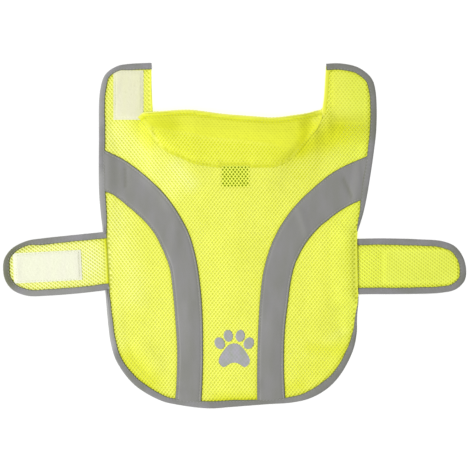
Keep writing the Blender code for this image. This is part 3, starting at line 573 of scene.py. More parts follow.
def make_net(loop, turn, height, depth, backed, seed, openness=same, lean=even_lean):
    """A net inside a loop: points, faces and how deep in a hole each point is, from 0 to 1. The holes are closed
    at the net's rim and where it is backed."""
    c, s = turned(turn)
    to_net = np.array(((c, -s), (s, c)))
    local = loop @ to_net
    low, high = REPEAT * (np.floor(local.min(axis=0) / REPEAT) - 3.0), local.max(axis=0) + 4.0 * WALE
    j, i = np.mgrid[0:int((high[1] - low[1]) / COURSE), 0:int((high[0] - low[0]) / WALE)]
    x, y = low[0] + (i + j % 2 * 0.5) * WALE, low[1] + j * COURSE

    def placed(dy):
        plan = np.column_stack([x.ravel(), (y + dy).ravel()]) @ to_net.T
        return plan + warp(plan)

    middles = placed(0.0)
    keep = inside(middles, loop).reshape(x.shape)
    top = np.arange(x.size).reshape(x.shape)
    foot = top + x.size
    J, I = np.nonzero(keep)
    left, right = I - 1 + J % 2, I + J % 2
    corners = np.column_stack([
        top[J, I], foot[J + 1, left], top[J - 1, left], foot[J, I], top[J - 1, right], foot[J + 1, right],
    ])
    used, corners = np.unique(corners, return_inverse=True)
    corners = corners.reshape(-1, 6)
    knots = np.vstack([placed(KNOT), placed(-KNOT)])[used]
    outline = closed(loop)
    rim_knots = np.bincount(corners.ravel(), minlength=len(used)) < 3
    near, away = spots_on(knots[rim_knots], outline)
    knots[rim_knots] = near[np.arange(len(near)), away.argmin(axis=1)]

    rng = np.random.default_rng(seed)
    count = len(J)
    middles = middles[keep.ravel()]
    room = nearness(middles, outline)
    at_rim = room < 1.9
    grown = rng.uniform(0.94, 1.05, (count, 1)) * np.where(at_rim, np.clip(room / 2.6, 0.12, 1.0), 1.0)[:, None]
    deep = depth(middles)
    deep[at_rim] *= 0.25
    shut = at_rim | backed(middles)
    axes = ((1.0, 0.0), (0.0, 1.0), (-1.0, 0.0), (0.0, -1.0))
    pulled = openness(middles)[:, None]
    rings = []
    for (half_x, half_y), share in ((HOLE_TOP, pulled ** 0.12), (HOLE_FOOT, pulled)):
        ring = np.array([(u * half_x, v * half_y) for u, v in axes])[None] * (grown * share)[:, :, None]
        ring[:, :, 0] += ring[:, :, 1] * np.reshape(lean(middles), (-1, 1)) * (pulled < 1.5)
        rings.append((middles[:, None, :] + ring @ to_net.T).reshape(-1, 2))
    mouth, bottom = rings
    lift = KNOT_RISE * rng.uniform(0.7, 1.2, len(knots))
    deep4 = np.repeat(deep, 4)
    points = np.vstack([
        np.column_stack([knots, height(knots) + lift]),
        np.column_stack([mouth, height(mouth) - 0.06 * deep4]),
        np.column_stack([bottom, height(bottom) - HOLE_DEPTH * deep4]),
    ])
    pit = np.concatenate([np.zeros(len(knots)), 0.60 * deep4, deep4])
    o = corners.T
    r = len(knots) + 4 * np.arange(count)[None] + np.arange(4)[:, None]
    d = r + 4 * count
    triangles = np.concatenate([np.stack(t, axis=1) for t in (
        (o[0], o[1], r[1]), (o[1], r[2], r[1]), (o[1], o[2], r[2]), (o[2], r[3], r[2]), (o[2], o[3], r[3]),
        (o[3], o[4], r[3]), (o[4], r[0], r[3]), (o[4], o[5], r[0]), (o[5], r[1], r[0]), (o[5], o[0], r[1]),
    )])
    quads = np.concatenate([
        np.stack((r[k], r[(k + 1) % 4], d[(k + 1) % 4], d[k]), axis=1) for k in range(4)
    ] + [d.T[shut]])
    return points, triangles.tolist() + quads.tolist(), pit


def hole_share(points):
    """1 in the middle of a hole of an unturned net, 0 between holes."""
    plan = points - warp(points)
    plan = points - warp(plan)
    row = np.round(plan[:, 1] / COURSE)
    share = np.zeros(len(points))
    for j in (row - 1.0, row, row + 1.0):
        shift = j % 2 * 0.5
        dx = plan[:, 0] - (np.round(plan[:, 0] / WALE - shift) + shift) * WALE
        dy = plan[:, 1] - j * COURSE
        share = np.maximum(share, np.exp(-(dx * dx + dy * dy) / 0.9))
    return share


# ---------------------------------------------------------------- materials

class Look:
    """A Principled material under construction, with short calls for its nodes."""

    def __init__(self, name):
        self.made = bpy.data.materials.new(name)
        self.made.use_nodes = True
        self.nodes = self.made.node_tree.nodes
        self.shader = self.nodes["Principled BSDF"]
        self.place = self.add("ShaderNodeTexCoord").outputs["Object"]

    def feed(self, socket, value):
        """Gives a socket a number, a colour or another node's output."""
        if isinstance(value, (int, float)):
            socket.default_value = value
        elif isinstance(value, tuple):
            socket.default_value = (*value, 1.0)[:len(socket.default_value)]
        else:
            self.made.node_tree.links.new(value, socket)

    def add(self, kind, inputs=(), **settings):
        node = self.nodes.new(kind)
        for key, value in settings.items():
            setattr(node, key, value)
        for key, value in dict(inputs).items():
            self.feed(node.inputs[key], value)
        return node

    def noise(self, scale, detail=2.0, rough=0.5, stretch=None):
        place = self.place
        if stretch:
            place = self.add("ShaderNodeMapping", {"Scale": stretch, "Vector": place}).outputs["Vector"]
        inputs = {"Scale": scale, "Detail": detail, "Roughness": rough, "Vector": place}
        return self.add("ShaderNodeTexNoise", inputs).outputs["Fac"]

    def attribute(self, name):
        return self.add("ShaderNodeAttribute", attribute_name=name).outputs["Fac"]

    def span(self, value, low, high, to_low=0.0, to_high=1.0):
        inputs = {"From Min": low, "From Max": high, "To Min": to_low, "To Max": to_high, "Value": value}
        return self.add("ShaderNodeMapRange", inputs).outputs["Result"]

    def mix(self, share, first, second):
        inputs = {0: share, 6: first, 7: second}
        return self.add("ShaderNodeMix", inputs, data_type="RGBA").outputs[2]

    def sum(self, first, second, kind="ADD"):
        return self.add("ShaderNodeMath", {0: first, 1: second}, operation=kind).outputs[0]

    def part(self, value, share):
        return self.sum(value, share, "MULTIPLY")

    def finish(self, colour, bump=None, **sockets):
        """Colours the shader, bumps it by a height, a distance and a strength, and gives the material."""
        self.feed(self.shader.inputs["Base Color"], colour)
        for key, value in sockets.items():
            self.shader.inputs[key.replace("_", " ")].default_value = value
        if bump:
            height, distance, strength = bump
            inputs = {"Strength": strength, "Distance": distance * MM, "Height": height}
            self.feed(self.shader.inputs["Normal"], self.add("ShaderNodeBump", inputs).outputs["Normal"])
        return self.made


YARN_SIDES = (-0.165, -0.105, -0.13, 0.12, 0.088, 0.124)      # metres across: painted paler towards the lit left side between the first four, greener towards the right between the last two
YARN, YARN_DEEP = (0.885, 0.910, 0.150), (0.540, 0.580, 0.020)
YARN_PALE, YARN_PALER = (0.895, 0.905, 0.380), (0.900, 0.910, 0.560)
YARN_GREEN, YARN_SHADE = (0.800, 0.930, 0.130), (0.730, 0.755, 0.002)
YARN_DARK_SHADE, YARN_PULLED = (0.200, 0.225, 0.010), (0.890, 0.980, 0.130)
DOUBLE_PALE = (0.890, 0.905, 0.160)
EDGE_DARK = (0.085, 0.094, 0.030)       # the dark line where a grey strip's edge meets the net: its dark edge with a painted contact shadow


def yarn_look(name, tint=YARN, deep=YARN_DEEP, pale=YARN_PALE, paler=YARN_PALER, through=0.10):
    """Knitted hi-vis polyester with fine fibres and random deeper patches, greener towards the right. It is painted
    paler towards the lit left side, with painted shade deeper inside the holes and painted light and shade laid on
    per point.
    """
    look = Look(name)
    x = look.add("ShaderNodeSeparateXYZ", {0: look.place}).outputs["X"]
    far_left, left, pale_end, pale_start, green_start, green_end = YARN_SIDES
    # Painted light: paler towards the left, the side the key lamp lights; greener towards the right
    side = look.sum(look.span(x, far_left, left, 0.75, 0.0), look.span(x, pale_end, pale_start, 0.25, 0.0))
    base = look.mix(side, tint, pale)
    base = look.mix(look.span(x, green_start, green_end, 0.0, 0.60), base, YARN_GREEN)
    fibres = look.noise(2600.0, 2.0, 0.6)
    base = look.mix(look.part(fibres, 0.10), base, pale)
    # Painted light and shade laid on per point: paler above 0, deeper below
    tone = look.attribute("tone")
    base = look.mix(look.span(tone, 0.0, 1.0), base, paler)
    base = look.mix(look.span(tone, 0.0, -1.0), base, YARN_SHADE)
    base = look.mix(look.attribute("pulled"), base, YARN_PULLED)
    patches = look.span(look.noise(28.0, 3.0), 0.35, 0.65)
    base = look.mix(look.part(patches, 0.14), base, deep)
    # Painted shade: deeper inside the holes, and darker where more painted shade is laid on
    base = look.mix(look.attribute("pit"), base, deep)
    base = look.mix(look.attribute("soil"), base, YARN_DARK_SHADE)
    light = look.add("ShaderNodeBsdfTranslucent", {"Color": deep}).outputs[0]      # what shines through
    both = look.add("ShaderNodeMixShader", {0: through, 1: look.shader.outputs[0], 2: light}).outputs[0]
    look.feed(look.nodes["Material Output"].inputs["Surface"], both)
    return look.finish(base, (fibres, 0.10, 0.5), Roughness=0.75, Sheen_Weight=0.04, Sheen_Roughness=0.45,
                       Specular_IOR_Level=0.10)


def tape_look():
    """Grey ribbed polyester tape, mottled by handling."""
    look = Look("binding_tape")
    ribs = look.noise(900.0)
    blotch = look.span(look.noise(60.0, 3.0), 0.35, 0.68)
    base = look.mix(blotch, (0.186, 0.188, 0.174), (0.228, 0.222, 0.238))
    base = look.mix(look.part(look.span(ribs, 0.3, 0.7), 0.35), base, (0.140, 0.141, 0.134))
    # Painted light where the tape is paler
    base = look.mix(look.attribute("paled"), base, (0.320, 0.320, 0.315))
    # Painted shade, and the dark line along the tape's edges
    base = look.mix(look.attribute("worn"), base, EDGE_DARK)
    grain = look.sum(ribs, look.noise(3000.0, 1.0))
    return look.finish(base, (grain, 0.10, 0.6), Roughness=0.75, Sheen_Weight=0.2)


def reflective_look():
    """Silver-grey cloth faced with tiny glass beads."""
    look = Look("reflective_cloth")
    beads = look.add("ShaderNodeTexVoronoi", {"Scale": 4200.0, "Vector": look.place}).outputs["Distance"]
    streaks = look.span(look.noise(75.0, 4.0, 0.55, (1.0, 0.35, 1.0)), 0.35, 0.70)
    base = look.mix(streaks, (0.180, 0.181, 0.163), (0.210, 0.206, 0.210))
    base = look.mix(look.part(look.span(beads, 0.0, 0.5), 0.25), base, (0.26, 0.26, 0.25))
    # Darker along its edges, with a painted contact shadow, and painted shade in its sharpest creases
    base = look.mix(look.attribute("worn"), base, EDGE_DARK)
    grain = look.sum(look.part(beads, 0.4), look.noise(500.0))
    return look.finish(base, (grain, 0.06, 0.6), Roughness=0.50, Metallic=0.15, Specular_IOR_Level=0.4)


def pile_look(name, pale, deep):
    """Brushed loops of hook-and-loop tape."""
    look = Look(name)
    tufts = look.noise(1500.0, 3.0, 0.6)
    rows = look.noise(120.0, 2.0, 0.5, (1.0, 0.15, 1.0))
    base = look.mix(look.span(tufts, 0.3, 0.75), deep, pale)
    base = look.mix(look.part(look.span(rows, 0.35, 0.7), 0.25), base, (0.66, 0.62, 0.58))
    return look.finish(base, (tufts, 0.25, 0.8), Roughness=1.0, Sheen_Weight=0.5, Sheen_Roughness=0.6)


def print_look():
    """Grey rubbery print that sinks a little into the net."""
    look = Look("paw_print")
    blotch = look.span(look.noise(170.0), 0.38, 0.66)
    base = look.mix(blotch, (0.288, 0.305, 0.274), (0.332, 0.322, 0.360))
    # Painted shade where the print dips into the holes
    base = look.mix(look.part(look.attribute("pit"), 0.25), base, (0.24, 0.25, 0.21))
    return look.finish(base, (look.noise(1800.0), 0.05, 0.5), Roughness=0.45)


def plain_look(name, pale, deep, scale=3000.0, rough=0.6, shine=0.5):
    """Thread and woven label, with a fine uneven grain."""
    look = Look(name)
    grain = look.noise(scale, 2.0, 0.6)
    base = look.mix(look.span(grain, 0.3, 0.7), deep, pale)
    return look.finish(base, (grain, 0.06, 0.5), Roughness=rough, Specular_IOR_Level=shine)


MESH = yarn_look("mesh_cloth")
MESH_CROSS = yarn_look("mesh_cloth_crosswise")
MESH_DOUBLE = yarn_look("mesh_cloth_double", (0.725, 0.758, 0.044), (0.600, 0.640, 0.014), DOUBLE_PALE,
                        DOUBLE_PALE, 0.08)
MESH_FOLD = yarn_look("mesh_cloth_fold", (0.845, 0.872, 0.165))
TAPE = tape_look()
REFLECTIVE = reflective_look()
PILE = pile_look("loop_pile", (0.73, 0.745, 0.585), (0.64, 0.655, 0.485))
PILE_GREY = pile_look("loop_pile_neck", (0.69, 0.695, 0.475), (0.60, 0.60, 0.365))
HOOKS = pile_look("hook_tape", (0.74, 0.78, 0.36), (0.55, 0.59, 0.20))
PRINT = print_look()
LABEL = plain_look("woven_label", (0.215, 0.285, 0.001), (0.155, 0.215, 0.001), 1600.0, 1.0, 0.0)
THREAD = plain_look("yellow_thread", (0.72, 0.76, 0.16), (0.50, 0.54, 0.04))
THREAD_GREY = plain_look("grey_thread", (0.36, 0.36, 0.35), (0.24, 0.24, 0.235))
THREAD_SILVER = plain_look("silver_thread", (0.43, 0.43, 0.36), (0.30, 0.30, 0.25))
THREAD_PALE = plain_look("pale_thread", (0.84, 0.85, 0.66), (0.66, 0.68, 0.45), rough=0.7)


# ---------------------------------------------------------------- the nets

def cloth_edge(name):
    """The cloth's own edge inside a binding."""
    line = FINE_EDGES[name]
    return offset(line, SIDES[name] * np.minimum(EDGE_INSET, 0.4 * line[:, 2]))


def panel_outline():
    """The panel's edge all round, with its plain neckline edge hidden under the collar."""
    seam_top, seam_bottom = STRAP_SEAM_LEFT
    neckline = offset(SEAM_FINE, NECK_ALLOWANCE)[2:-2]
    return np.vstack([
        fine(INNER_EDGE_RIGHT)[:-1],
        cloth_edge("neck_right"),
        fine(ROLLED_EDGE)[1:-1],
        cloth_edge("hem"),
        (seam_bottom[0], SEAM_CORNER_BOTTOM),
        resample(STRAP_SEAM_LEFT[::-1], FINE_STEP),
        (seam_top[0], SEAM_CORNER_TOP),
        cloth_edge("neck_left")[::-1],
        fine(INNER_EDGE_LEFT)[:-1][::-1],
        neckline[neckline[:, 0] > INNER_EDGE_LEFT[0][0]],
        NECK_CORNER,
    ])


def tape_ends(names):
    """Lines where the tapes on these edges end on the net."""
    return [resample(offset(EDGES[name], SIDES[name] * EDGES[name][:, 2]), 5.0) for name in names]


def band_ends(names):
    """The same for the bands on the panel."""
    if names != PANEL_EDGES:
        return []
    return [smooth_line(np.array(rows)[:, k:k + 2], 6.0) for rows in (BAND_LEFT, BAND_RIGHT) for k in (0, 2)]


def in_lee(points):
    """Tells which holes are shut beside the collar's right end, where the cloth is pressed close: their shut feet
    paint a shade in the collar's lee.
    """
    return nearness(points, SEAM_FINE) < 24.0 * ease(points[:, 0] - 44.0, 24.0) * ease(130.0 - points[:, 1], 14.0)


def label_share(points):
    """1 over the label, 0 away from it."""
    left, right, bottom, _ = LABEL_BOX
    x, y = points[:, 0], points[:, 1]
    return ease(x - left + 1.6, 2.4) * ease(right + 1.6 - x, 2.4) * ease(y - bottom + 0.6, 2.4)


def shades(points, names, pit):
    """What colours a net at each point: its painted light and shade, from -1 (painted shade, deep) to 1 (painted
    light, pale);
    how dark it is with the tape's lower leaf behind its holes and with painted shade along its edges, along a seam
    and in the lee of folds; and how far the label pulls it open."""
    plan = points[:, :2]
    pulled = label_share(plan) * (names == PANEL_EDGES)
    pit = pit * np.where(pit < 0.9, 1.0 - 0.65 * pulled, 1.0)
    shares = spread(plan, NET_PAINTED_LIGHT)
    pale, kept = np.maximum(shares, 0.0).sum(axis=0), (1.0 + np.minimum(shares, 0.0)).prod(axis=0)
    near_tapes = nearness(plan, *tape_ends(names))
    near = nearness(plan, *tape_ends(names), *band_ends(names))
    # Painted light and shade from the table, with a painted shade along the tapes' and bands' edges
    tone = pale - (1.0 - kept) - 0.35 * bell(near, 1.5) - 0.05 * bell(near, 5.0)
    seam = nearness(plan, STRAP_SEAM_LEFT)
    # Painted shade: darker where the tape's lower leaf lies behind the holes, along the tapes' and bands' edges and
    # along the left strap's seam
    behind = bell(np.minimum(near_tapes, seam * 0.7), TAPE_SHOWS)
    soil = 0.50 * behind * pit ** 2 + 0.16 * bell(near, 1.3) + 0.78 * bell(seam, 1.0)
    # Painted shade, deeper and darker, on the strap's side of the left strap's seam, along the seam itself and in
    # the lee of folds
    strap_side = bell(seam, 3.6) * (names == LEFT_EDGES)
    tone -= 0.9 * strap_side + 0.7 * bell(seam, 1.2)
    soil += 0.06 * strap_side + 0.25 * strap_side * pit + spread(plan, SHADED).sum(axis=0)
    return {"tone": np.clip(tone, -1.0, 1.0), "soil": np.clip(soil, 0.0, 1.0), "pit": pit, "pulled": pulled}


def add_net(name, node, look, slot, loop, turn, field, names, seed, pad=None, **shape):
    """One bound piece of net. Its holes end on a pad sewn under it, or on a tape's or a seam's turned edge."""
    def over(points):
        if not pad:
            return np.zeros(len(points), bool)
        under = pad_loop(pad)
        return inside(points, under + (under - under.mean(axis=0)) * 0.12)

    def backed(points):
        near_tape = nearness(points, *tape_ends(names), STRAP_SEAM_LEFT) < TAPE_SHOWS
        return over(points) | near_tape | in_lee(points)

    points, faces, pit = make_net(loop, turn, field, lambda points: 1.0 - 0.45 * over(points), backed, seed, **shape)
    return flat_map(add_piece(name, points, faces, look, (node,), shades(points, names, pit)))


def panel_lean(points):
    """The panel's holes lean one way above a slanting line and the other way below it."""
    past = points[:, 0] + 30.0 + 0.78 * (60.0 - points[:, 1])
    return HOLE_LEAN * (2.0 * ease(past + 25.0, 50.0) - 1.0)


def add_collar():
    """The folded collar: its upper layer as a net backed by the layer behind, and its rounded fold."""
    def depth(points):
        from_fold, from_seam = distance_to(points, FOLD_FINE), distance_to(points, SEAM_FINE)
        smooth_from = np.interp(points[:, 0], (-90.0, -60.0, -30.0, 15.0, 40.0, 60.0, 90.0),
                                (12.0, 20.0, 24.0, 24.0, 26.0, 34.0, 40.0))
        low = 0.22 + 0.78 * ease(from_fold - smooth_from + 3.0, 8.0)
        return np.maximum(low, 0.45 * bell(from_fold - 6.0, 3.0)) * (1.0 - 0.35 * ease(1.0 - from_seam / 5.0))

    points, faces, pit = make_net(np.vstack([SEAM_FINE, FOLD_FINE[::-1]]), 0.0, COLLAR_TOP, depth,
                                  lambda points: np.ones(len(points), bool), 14)
    plan, x = points[:, :2], points[:, 0]
    from_fold, from_seam = nearness(plan, FOLD_FINE), nearness(plan, SEAM_FINE)
    tip = fall(distance_to(plan, np.array(((-88.0, 112.0), (-66.0, 109.0)))), 20.0)
    sunk = ease(x + 80.0, 14.0)
    roll_over = bell(from_seam - 1.4, 1.6) * fall(x - 30.0, 30.0) * sunk
    # Painted light and shade on the collar: a painted highlight along the fold; painted shade in the stitch groove,
    # at the tip, in the roll over the seam and over the right end; paler where its mesh shows, near the seam at the
    # left tip and at the right end's corner
    tone = 0.5 * bell(from_fold - 0.5, 1.2) - 0.9 * bell(from_fold - COLLAR_STITCH, 0.9)
    tone += 0.55 * ease(depth(plan) - 0.3, 0.5) * fall(x - 20.0, 50.0) - 0.3 * tip
    tone -= (0.35 + 0.45 * fall(from_seam - 6.0, 14.0)) * ease(x - 56.0, 16.0) * (1.0 - 0.6 * ease(x - 64.0, 14.0))
    tone += 0.3 * bell(from_seam, 5.0) * fall(x + 84.0, 24.0) - 0.6 * roll_over
    tone += 0.6 * fall(distance_to(plan, np.array(((81.0, 116.0), (86.0, 124.0)))), 9.0)
    # Painted shade: a little all over, more at the tip, in a dotted line along the seam and in a faint band across
    # the middle, fading out at the fold and the right end
    stitched = 0.5 + 0.5 * np.sin(x * CIRCLE / WALE)
    soil = 0.05 + 0.10 * tip * ease(from_seam, 8.0) + 0.30 * stitched * sunk * bell(from_seam - 1.2, 0.8)
    soil += 0.03 * bell(from_fold - 16.0, 8.0) * (x < 60.0)
    soil *= ease(from_fold - 1.0, 3.0) * fall(x - 62.0, 20.0)
    # The holes are painted deeper in the roll over the seam, at the tip and along the topstitching: painted shade
    pit = np.maximum.reduce([pit, 0.5 * roll_over, 0.5 * tip * ease(from_seam, 8.0),
                             0.6 * bell(from_fold - COLLAR_STITCH, 0.8)])
    top = flat_map(add_piece("collar_net", points, faces, MESH_DOUBLE, ("collar",),
                             {"pit": pit, "tone": tone, "soil": soil}))

    rows = []
    s = length_along(FOLD_FINE)
    back = np.interp(s, s[[0, 14, -14, -1]], (1.0, 16.0, 14.0, 1.0))
    taper = ease(s + 1.0, 8.0) * ease(s[-1] - s + 1.0, 8.0)
    level = COLLAR_TOP(offset(FOLD_FINE, -1.2))
    for inward, lift in ((1.0, 0.35), (0.35, 0.30), (0.0, 0.0), (-0.25, -0.7), (0.0, -1.35), (0.9, -1.75)):
        scallop = 0.18 * np.sin(s * CIRCLE / 3.5) * (inward < 0.9)
        plan = offset(FOLD_FINE, -(inward - scallop) * taper - 0.8 * (1.0 - taper))
        rows.append(np.column_stack([plan, level + lift * taper]))
    for share in (0.35, 0.7, 1.0):
        plan = offset(FOLD_FINE, -back * share)
        under = np.minimum(np.maximum(COLLAR_TOP(plan) - 2.2, PANEL(plan) + 0.6), COLLAR_TOP(plan) - 0.6)
        rows.append(np.column_stack([plan, under]))
    # The fold's inner top row, its outer bulge and its underside are painted deeper: painted shade
    tone = np.tile([-0.3, 0.0, 0.0, -0.2] + [-0.6] * (len(rows) - 4), len(s))
    fold = add_piece("collar_fold", np.stack(rows, axis=1).reshape(-1, 3), grid_faces(len(s), len(rows)),
                     MESH_FOLD, values={"tone": tone})
    stitches = add_stitches("collar_stitches", [offset(FOLD_FINE, -COLLAR_STITCH)[2:-2]], COLLAR_TOP, THREAD,
                            lift=0.22)
    tacks = add_stitches("collar_seam_stitches", [offset(SEAM_FINE, 1.6)[2:-2]], COLLAR_TOP, THREAD, pitch=3.2,
                         lift=-0.10)
    return top, [fold, stitches, tacks]


# ---------------------------------------------------------------- tapes and bands

def add_binding(name, edge, field, run_on=0.0):
    """Tape folded over an edge, drawn in a little at each of its stitches, and run on over the next tape."""
    line, side = FINE_EDGES[edge], SIDES[edge]
    if run_on:
        last = line[-1] - line[-2]
        line = np.vstack([line, line[-1] + last * run_on / np.linalg.norm(last[:2])])
    line = resample(line, 1.1)
    plan, widths = line[:, :2], line[:, 2]
    s = length_along(plan)
    phase = CIRCLE * s / PUCKER + 1.3 * np.sin(s / 19.0)
    edge_z, inner_z = field(offset(plan, side * EDGE_INSET * 1.4)), field(offset(plan, side * widths))
    sway = 0.16 * np.sin(s / 7.3) + 0.10 * np.sin(s / 3.1 + 1.0)
    rings = []
    for share, plus, lift, _ in TAPE_PROFILE:
        away = widths * share + plus * np.minimum(widths / 3.2, 1.0)
        inner = np.clip(away / widths, 0.0, 1.0)
        away = away + inner * (0.13 * np.sin(phase) + sway * 0.8)
        z = edge_z + (inner_z - edge_z) * inner + lift
        z = z + 0.11 * np.sin(phase + 0.6) * inner * (lift > 0.0) + 0.05 * np.sin(s / 4.4) * (lift > 0.0)
        z = z + 0.7 * ease(s - s[-1] + 4.0 + run_on, 4.0) * (run_on > 0.0)
        rings.append(np.column_stack([offset(plan, side * away), np.maximum(z, 0.12)]))
    count = len(rings)
    faces = grid_faces(len(s), count)
    faces += [list(range(count)), [len(s) * count - 1 - k for k in range(count)]]
    # Painted light and shade on the tape from the table; the shade adds to the profile's painted contact shadow
    tone = spread(plan, TAPE_PAINTED_LIGHT).sum(axis=0)
    worn = np.clip(np.add.outer(np.maximum(-tone, 0.0), [row[3] for row in TAPE_PROFILE]), 0.0, 1.0)
    tape = add_piece(name, np.stack(rings, axis=1).reshape(-1, 3), flipped(faces, side > 0), TAPE,
                     ("binding_" + edge,),
                     {"worn": worn.ravel(), "paled": np.repeat(np.clip(tone, 0.0, 1.0), count)})
    stitch = offset(plan, side * np.maximum(widths - 1.25, 0.4 * widths))
    threads = add_stitches(name + "_stitches", [stitch], lambda points: field(points) + 0.86, THREAD_GREY,
                           pitch=PUCKER, length=2.3, radius=0.20, lift=0.04)
    return [tape, threads]


def add_band(node, sections):
    """A strip of reflective cloth with turned edges, topstitched along both."""
    rows = smooth_line(sections, 1.6)
    head, tail = rows[0] - (rows[3] - rows[0]) * 0.5, rows[-1] + (rows[-1] - rows[-4]) * 0.5
    rows = np.vstack([head, rows, tail])
    inner, outer = rows[:, 0:2], rows[:, 2:4]
    width = np.linalg.norm(outer - inner, axis=1)
    across = (outer - inner) / width[:, None]
    last = BAND_EDGE[-1][0]
    near_side = [(np.full(len(rows), e), lift, dark) for e, lift, dark in BAND_EDGE]
    middle = [(last + (width - 2.0 * last) * m, 0.80, 0.0) for m in np.linspace(0.0, 1.0, 9)[1:-1]]
    far_side = [(width - e, lift, dark) for e, lift, dark in BAND_EDGE[::-1]]
    s = length_along((inner + outer) / 2.0)
    points, worn = [], []
    for distance, lift, dark in near_side + middle + far_side:
        plan = inner + across * distance[:, None]
        # Darker along the band's edges, with a painted contact shadow, and painted shade in the sharpest creases
        near = np.min([distance_to(plan, np.reshape(row, (2, 2))) for row in CREASE_DARK], axis=0)
        worn.append(np.maximum(dark, 0.30 * bell(near, 1.5)))
        edge = np.minimum(distance, width - distance)
        pucker = 0.07 * np.sin(CIRCLE * s / 2.9 + distance * 0.2) * np.exp(-edge / 2.5) * (edge > 0.3)
        crease = sum(row[4] * bell(distance_to(plan, np.reshape(row[:4], (2, 2))), row[5]) for row in BAND_CREASES)
        soft = 0.10 * waves(plan * 2.7) * ease(edge, 4.0)
        points.append(np.column_stack([plan, PANEL(plan) + 0.12 + lift + pucker + crease * ease(edge, 3.0) + soft]))
    points = np.stack(points, axis=1)
    a, b, c = points[0, 0], points[0, 1], points[1, 0]
    faces = flipped(grid_faces(len(points), points.shape[1]), np.cross(b[:2] - a[:2], c[:2] - a[:2]) > 0.0)
    band = add_piece("reflective_" + node, points.reshape(-1, 3), faces, REFLECTIVE, (node,),
                     {"worn": np.stack(worn, axis=1).ravel()})
    lines = [line[2:-2] for line in (inner + across * BAND_STITCH, outer - across * BAND_STITCH)]
    threads = add_stitches("reflective_" + node + "_stitches", lines, PANEL, THREAD_SILVER, radius=0.20,
                           lift=0.86)
    return band, threads


# ---------------------------------------------------------------- pads, paw, label and plain edges

def filled(loop, step, jitter, seed):
    """Points and upward triangles that fill a loop, with the loop's own points first, and how many those are."""
    outline = resample(closed(loop), step)[:-1]
    low, high = loop.min(axis=0), loop.max(axis=0)
    j, i = np.mgrid[0:int((high[1] - low[1]) / step) + 2, 0:int((high[0] - low[0]) / step) + 2]
    inner = np.column_stack([(low[0] + (i + j % 2 * 0.5) * step).ravel(), (low[1] + j * step).ravel()])
    inner += np.random.default_rng(seed).uniform(-jitter, jitter, inner.shape) * step
    inner = inner[inside(inner, outline)]
    plan = np.vstack([outline, inner[nearness(inner, closed(outline)) > step * 0.5]])
    made = delaunay_2d_cdt([Vector(p) for p in plan], [], [list(range(len(outline)))], 1, 1e-5)
    plan = np.array([tuple(p) for p in made[0]])
    faces = []
    for a, b, c in made[2]:
        (ax, ay), (bx, by), (cx, cy) = plan[a], plan[b], plan[c]
        faces.append((a, b, c) if (bx - ax) * (cy - ay) - (by - ay) * (cx - ax) > 0.0 else (a, c, b))
    return plan, faces, len(outline)


def add_pad(name, node, spec, edge, field, seed, look, thread, lift, thick):
    """A hook-and-loop pad: a soft-edged pile with stitching round it, pressed flat where it runs under a tape. It
    hangs under the cloth if its lift is below zero."""
    edge, loop = FINE_EDGES[edge], pad_loop(spec)
    plan, faces, rim = filled(loop, 1.0, 0.25, seed)
    near = nearness(plan, closed(loop))
    level, sign = field(plan) + lift, math.copysign(1.0, lift)
    pile = thick * (0.05 + 0.95 * ease(near, 3.6))
    pile += np.random.default_rng(seed + 1).normal(0.0, 0.07, len(plan)) * (near > 0.4)
    gaps = np.linalg.norm(plan[:, None] - edge[None, :, :2], axis=2)
    pile *= 0.2 + 0.8 * ease(gaps.min(axis=1) - edge[gaps.argmin(axis=1), 2] + 0.5, 0.6)
    pile -= 0.35 * bell(near - 2.2, 0.6)
    top = np.column_stack([plan, level + sign * pile])
    skirt = np.column_stack([plan[:rim], level[:rim]])
    faces = flipped(faces + wall_faces(len(plan), len(plan) + rim, rim), lift < 0.0)
    pad = add_piece(name, np.vstack([top, top[:rim], skirt]), faces, look, (node,))
    centre = loop.mean(axis=0)
    inner = centre + (loop - centre) * (1.0 - 2.2 / np.linalg.norm(loop - centre, axis=1)[:, None] * 1.35)
    threads = add_stitches(name + "_stitches", [closed(inner)], field, thread, pitch=3.0, length=2.3, radius=0.2,
                           lift=lift + sign * (thick - 0.28))
    return [pad, threads]


def paw_shapes():
    """Loops of the printed paw: a rounded main pad and four oval toes."""
    left = [(-x, y) for x, y in PAW_PAD_SHAPE[-2:0:-1]]
    loops = {"paw_pad": smooth_line([*PAW_PAD_SHAPE, *left], 0.05, closed=True) * PAW_HALF_WIDTH + PAW_CENTRE}
    a = CIRCLE * np.arange(48) / 48
    for number, (angle, half_width, half_height, turn) in enumerate(PAW_TOES, start=1):
        centre = np.array(PAW_TOE_POINT) + PAW_TOE_RADIUS * np.array(turned(angle))
        c, s = turned(turn)
        oval = np.column_stack([half_width * np.cos(a), half_height * np.sin(a)])
        loops[f"paw_toe_{number}"] = centre + oval @ np.array(((c, s), (-s, c)))
    return loops


def add_paw():
    """The print, a thin film over the net that dips at its holes."""
    made = []
    for seed, (name, loop) in enumerate(paw_shapes().items(), start=40):
        plan, faces, rim = filled(loop, 0.7, 0.15, seed)
        dip = hole_share(plan)
        z = PANEL(plan) + 0.34 - 0.16 * dip - 0.12 * ease(1.0 - nearness(plan, closed(loop)) / 0.8)
        top = np.column_stack([plan, z])
        skirt = np.column_stack([plan[:rim], z[:rim] - 0.22])
        made.append(add_piece(name + "_print", np.vstack([top, skirt]), faces + wall_faces(0, len(plan), rim),
                              PRINT, (name,), {"pit": np.concatenate([dip, np.zeros(rim)])}))
    return made


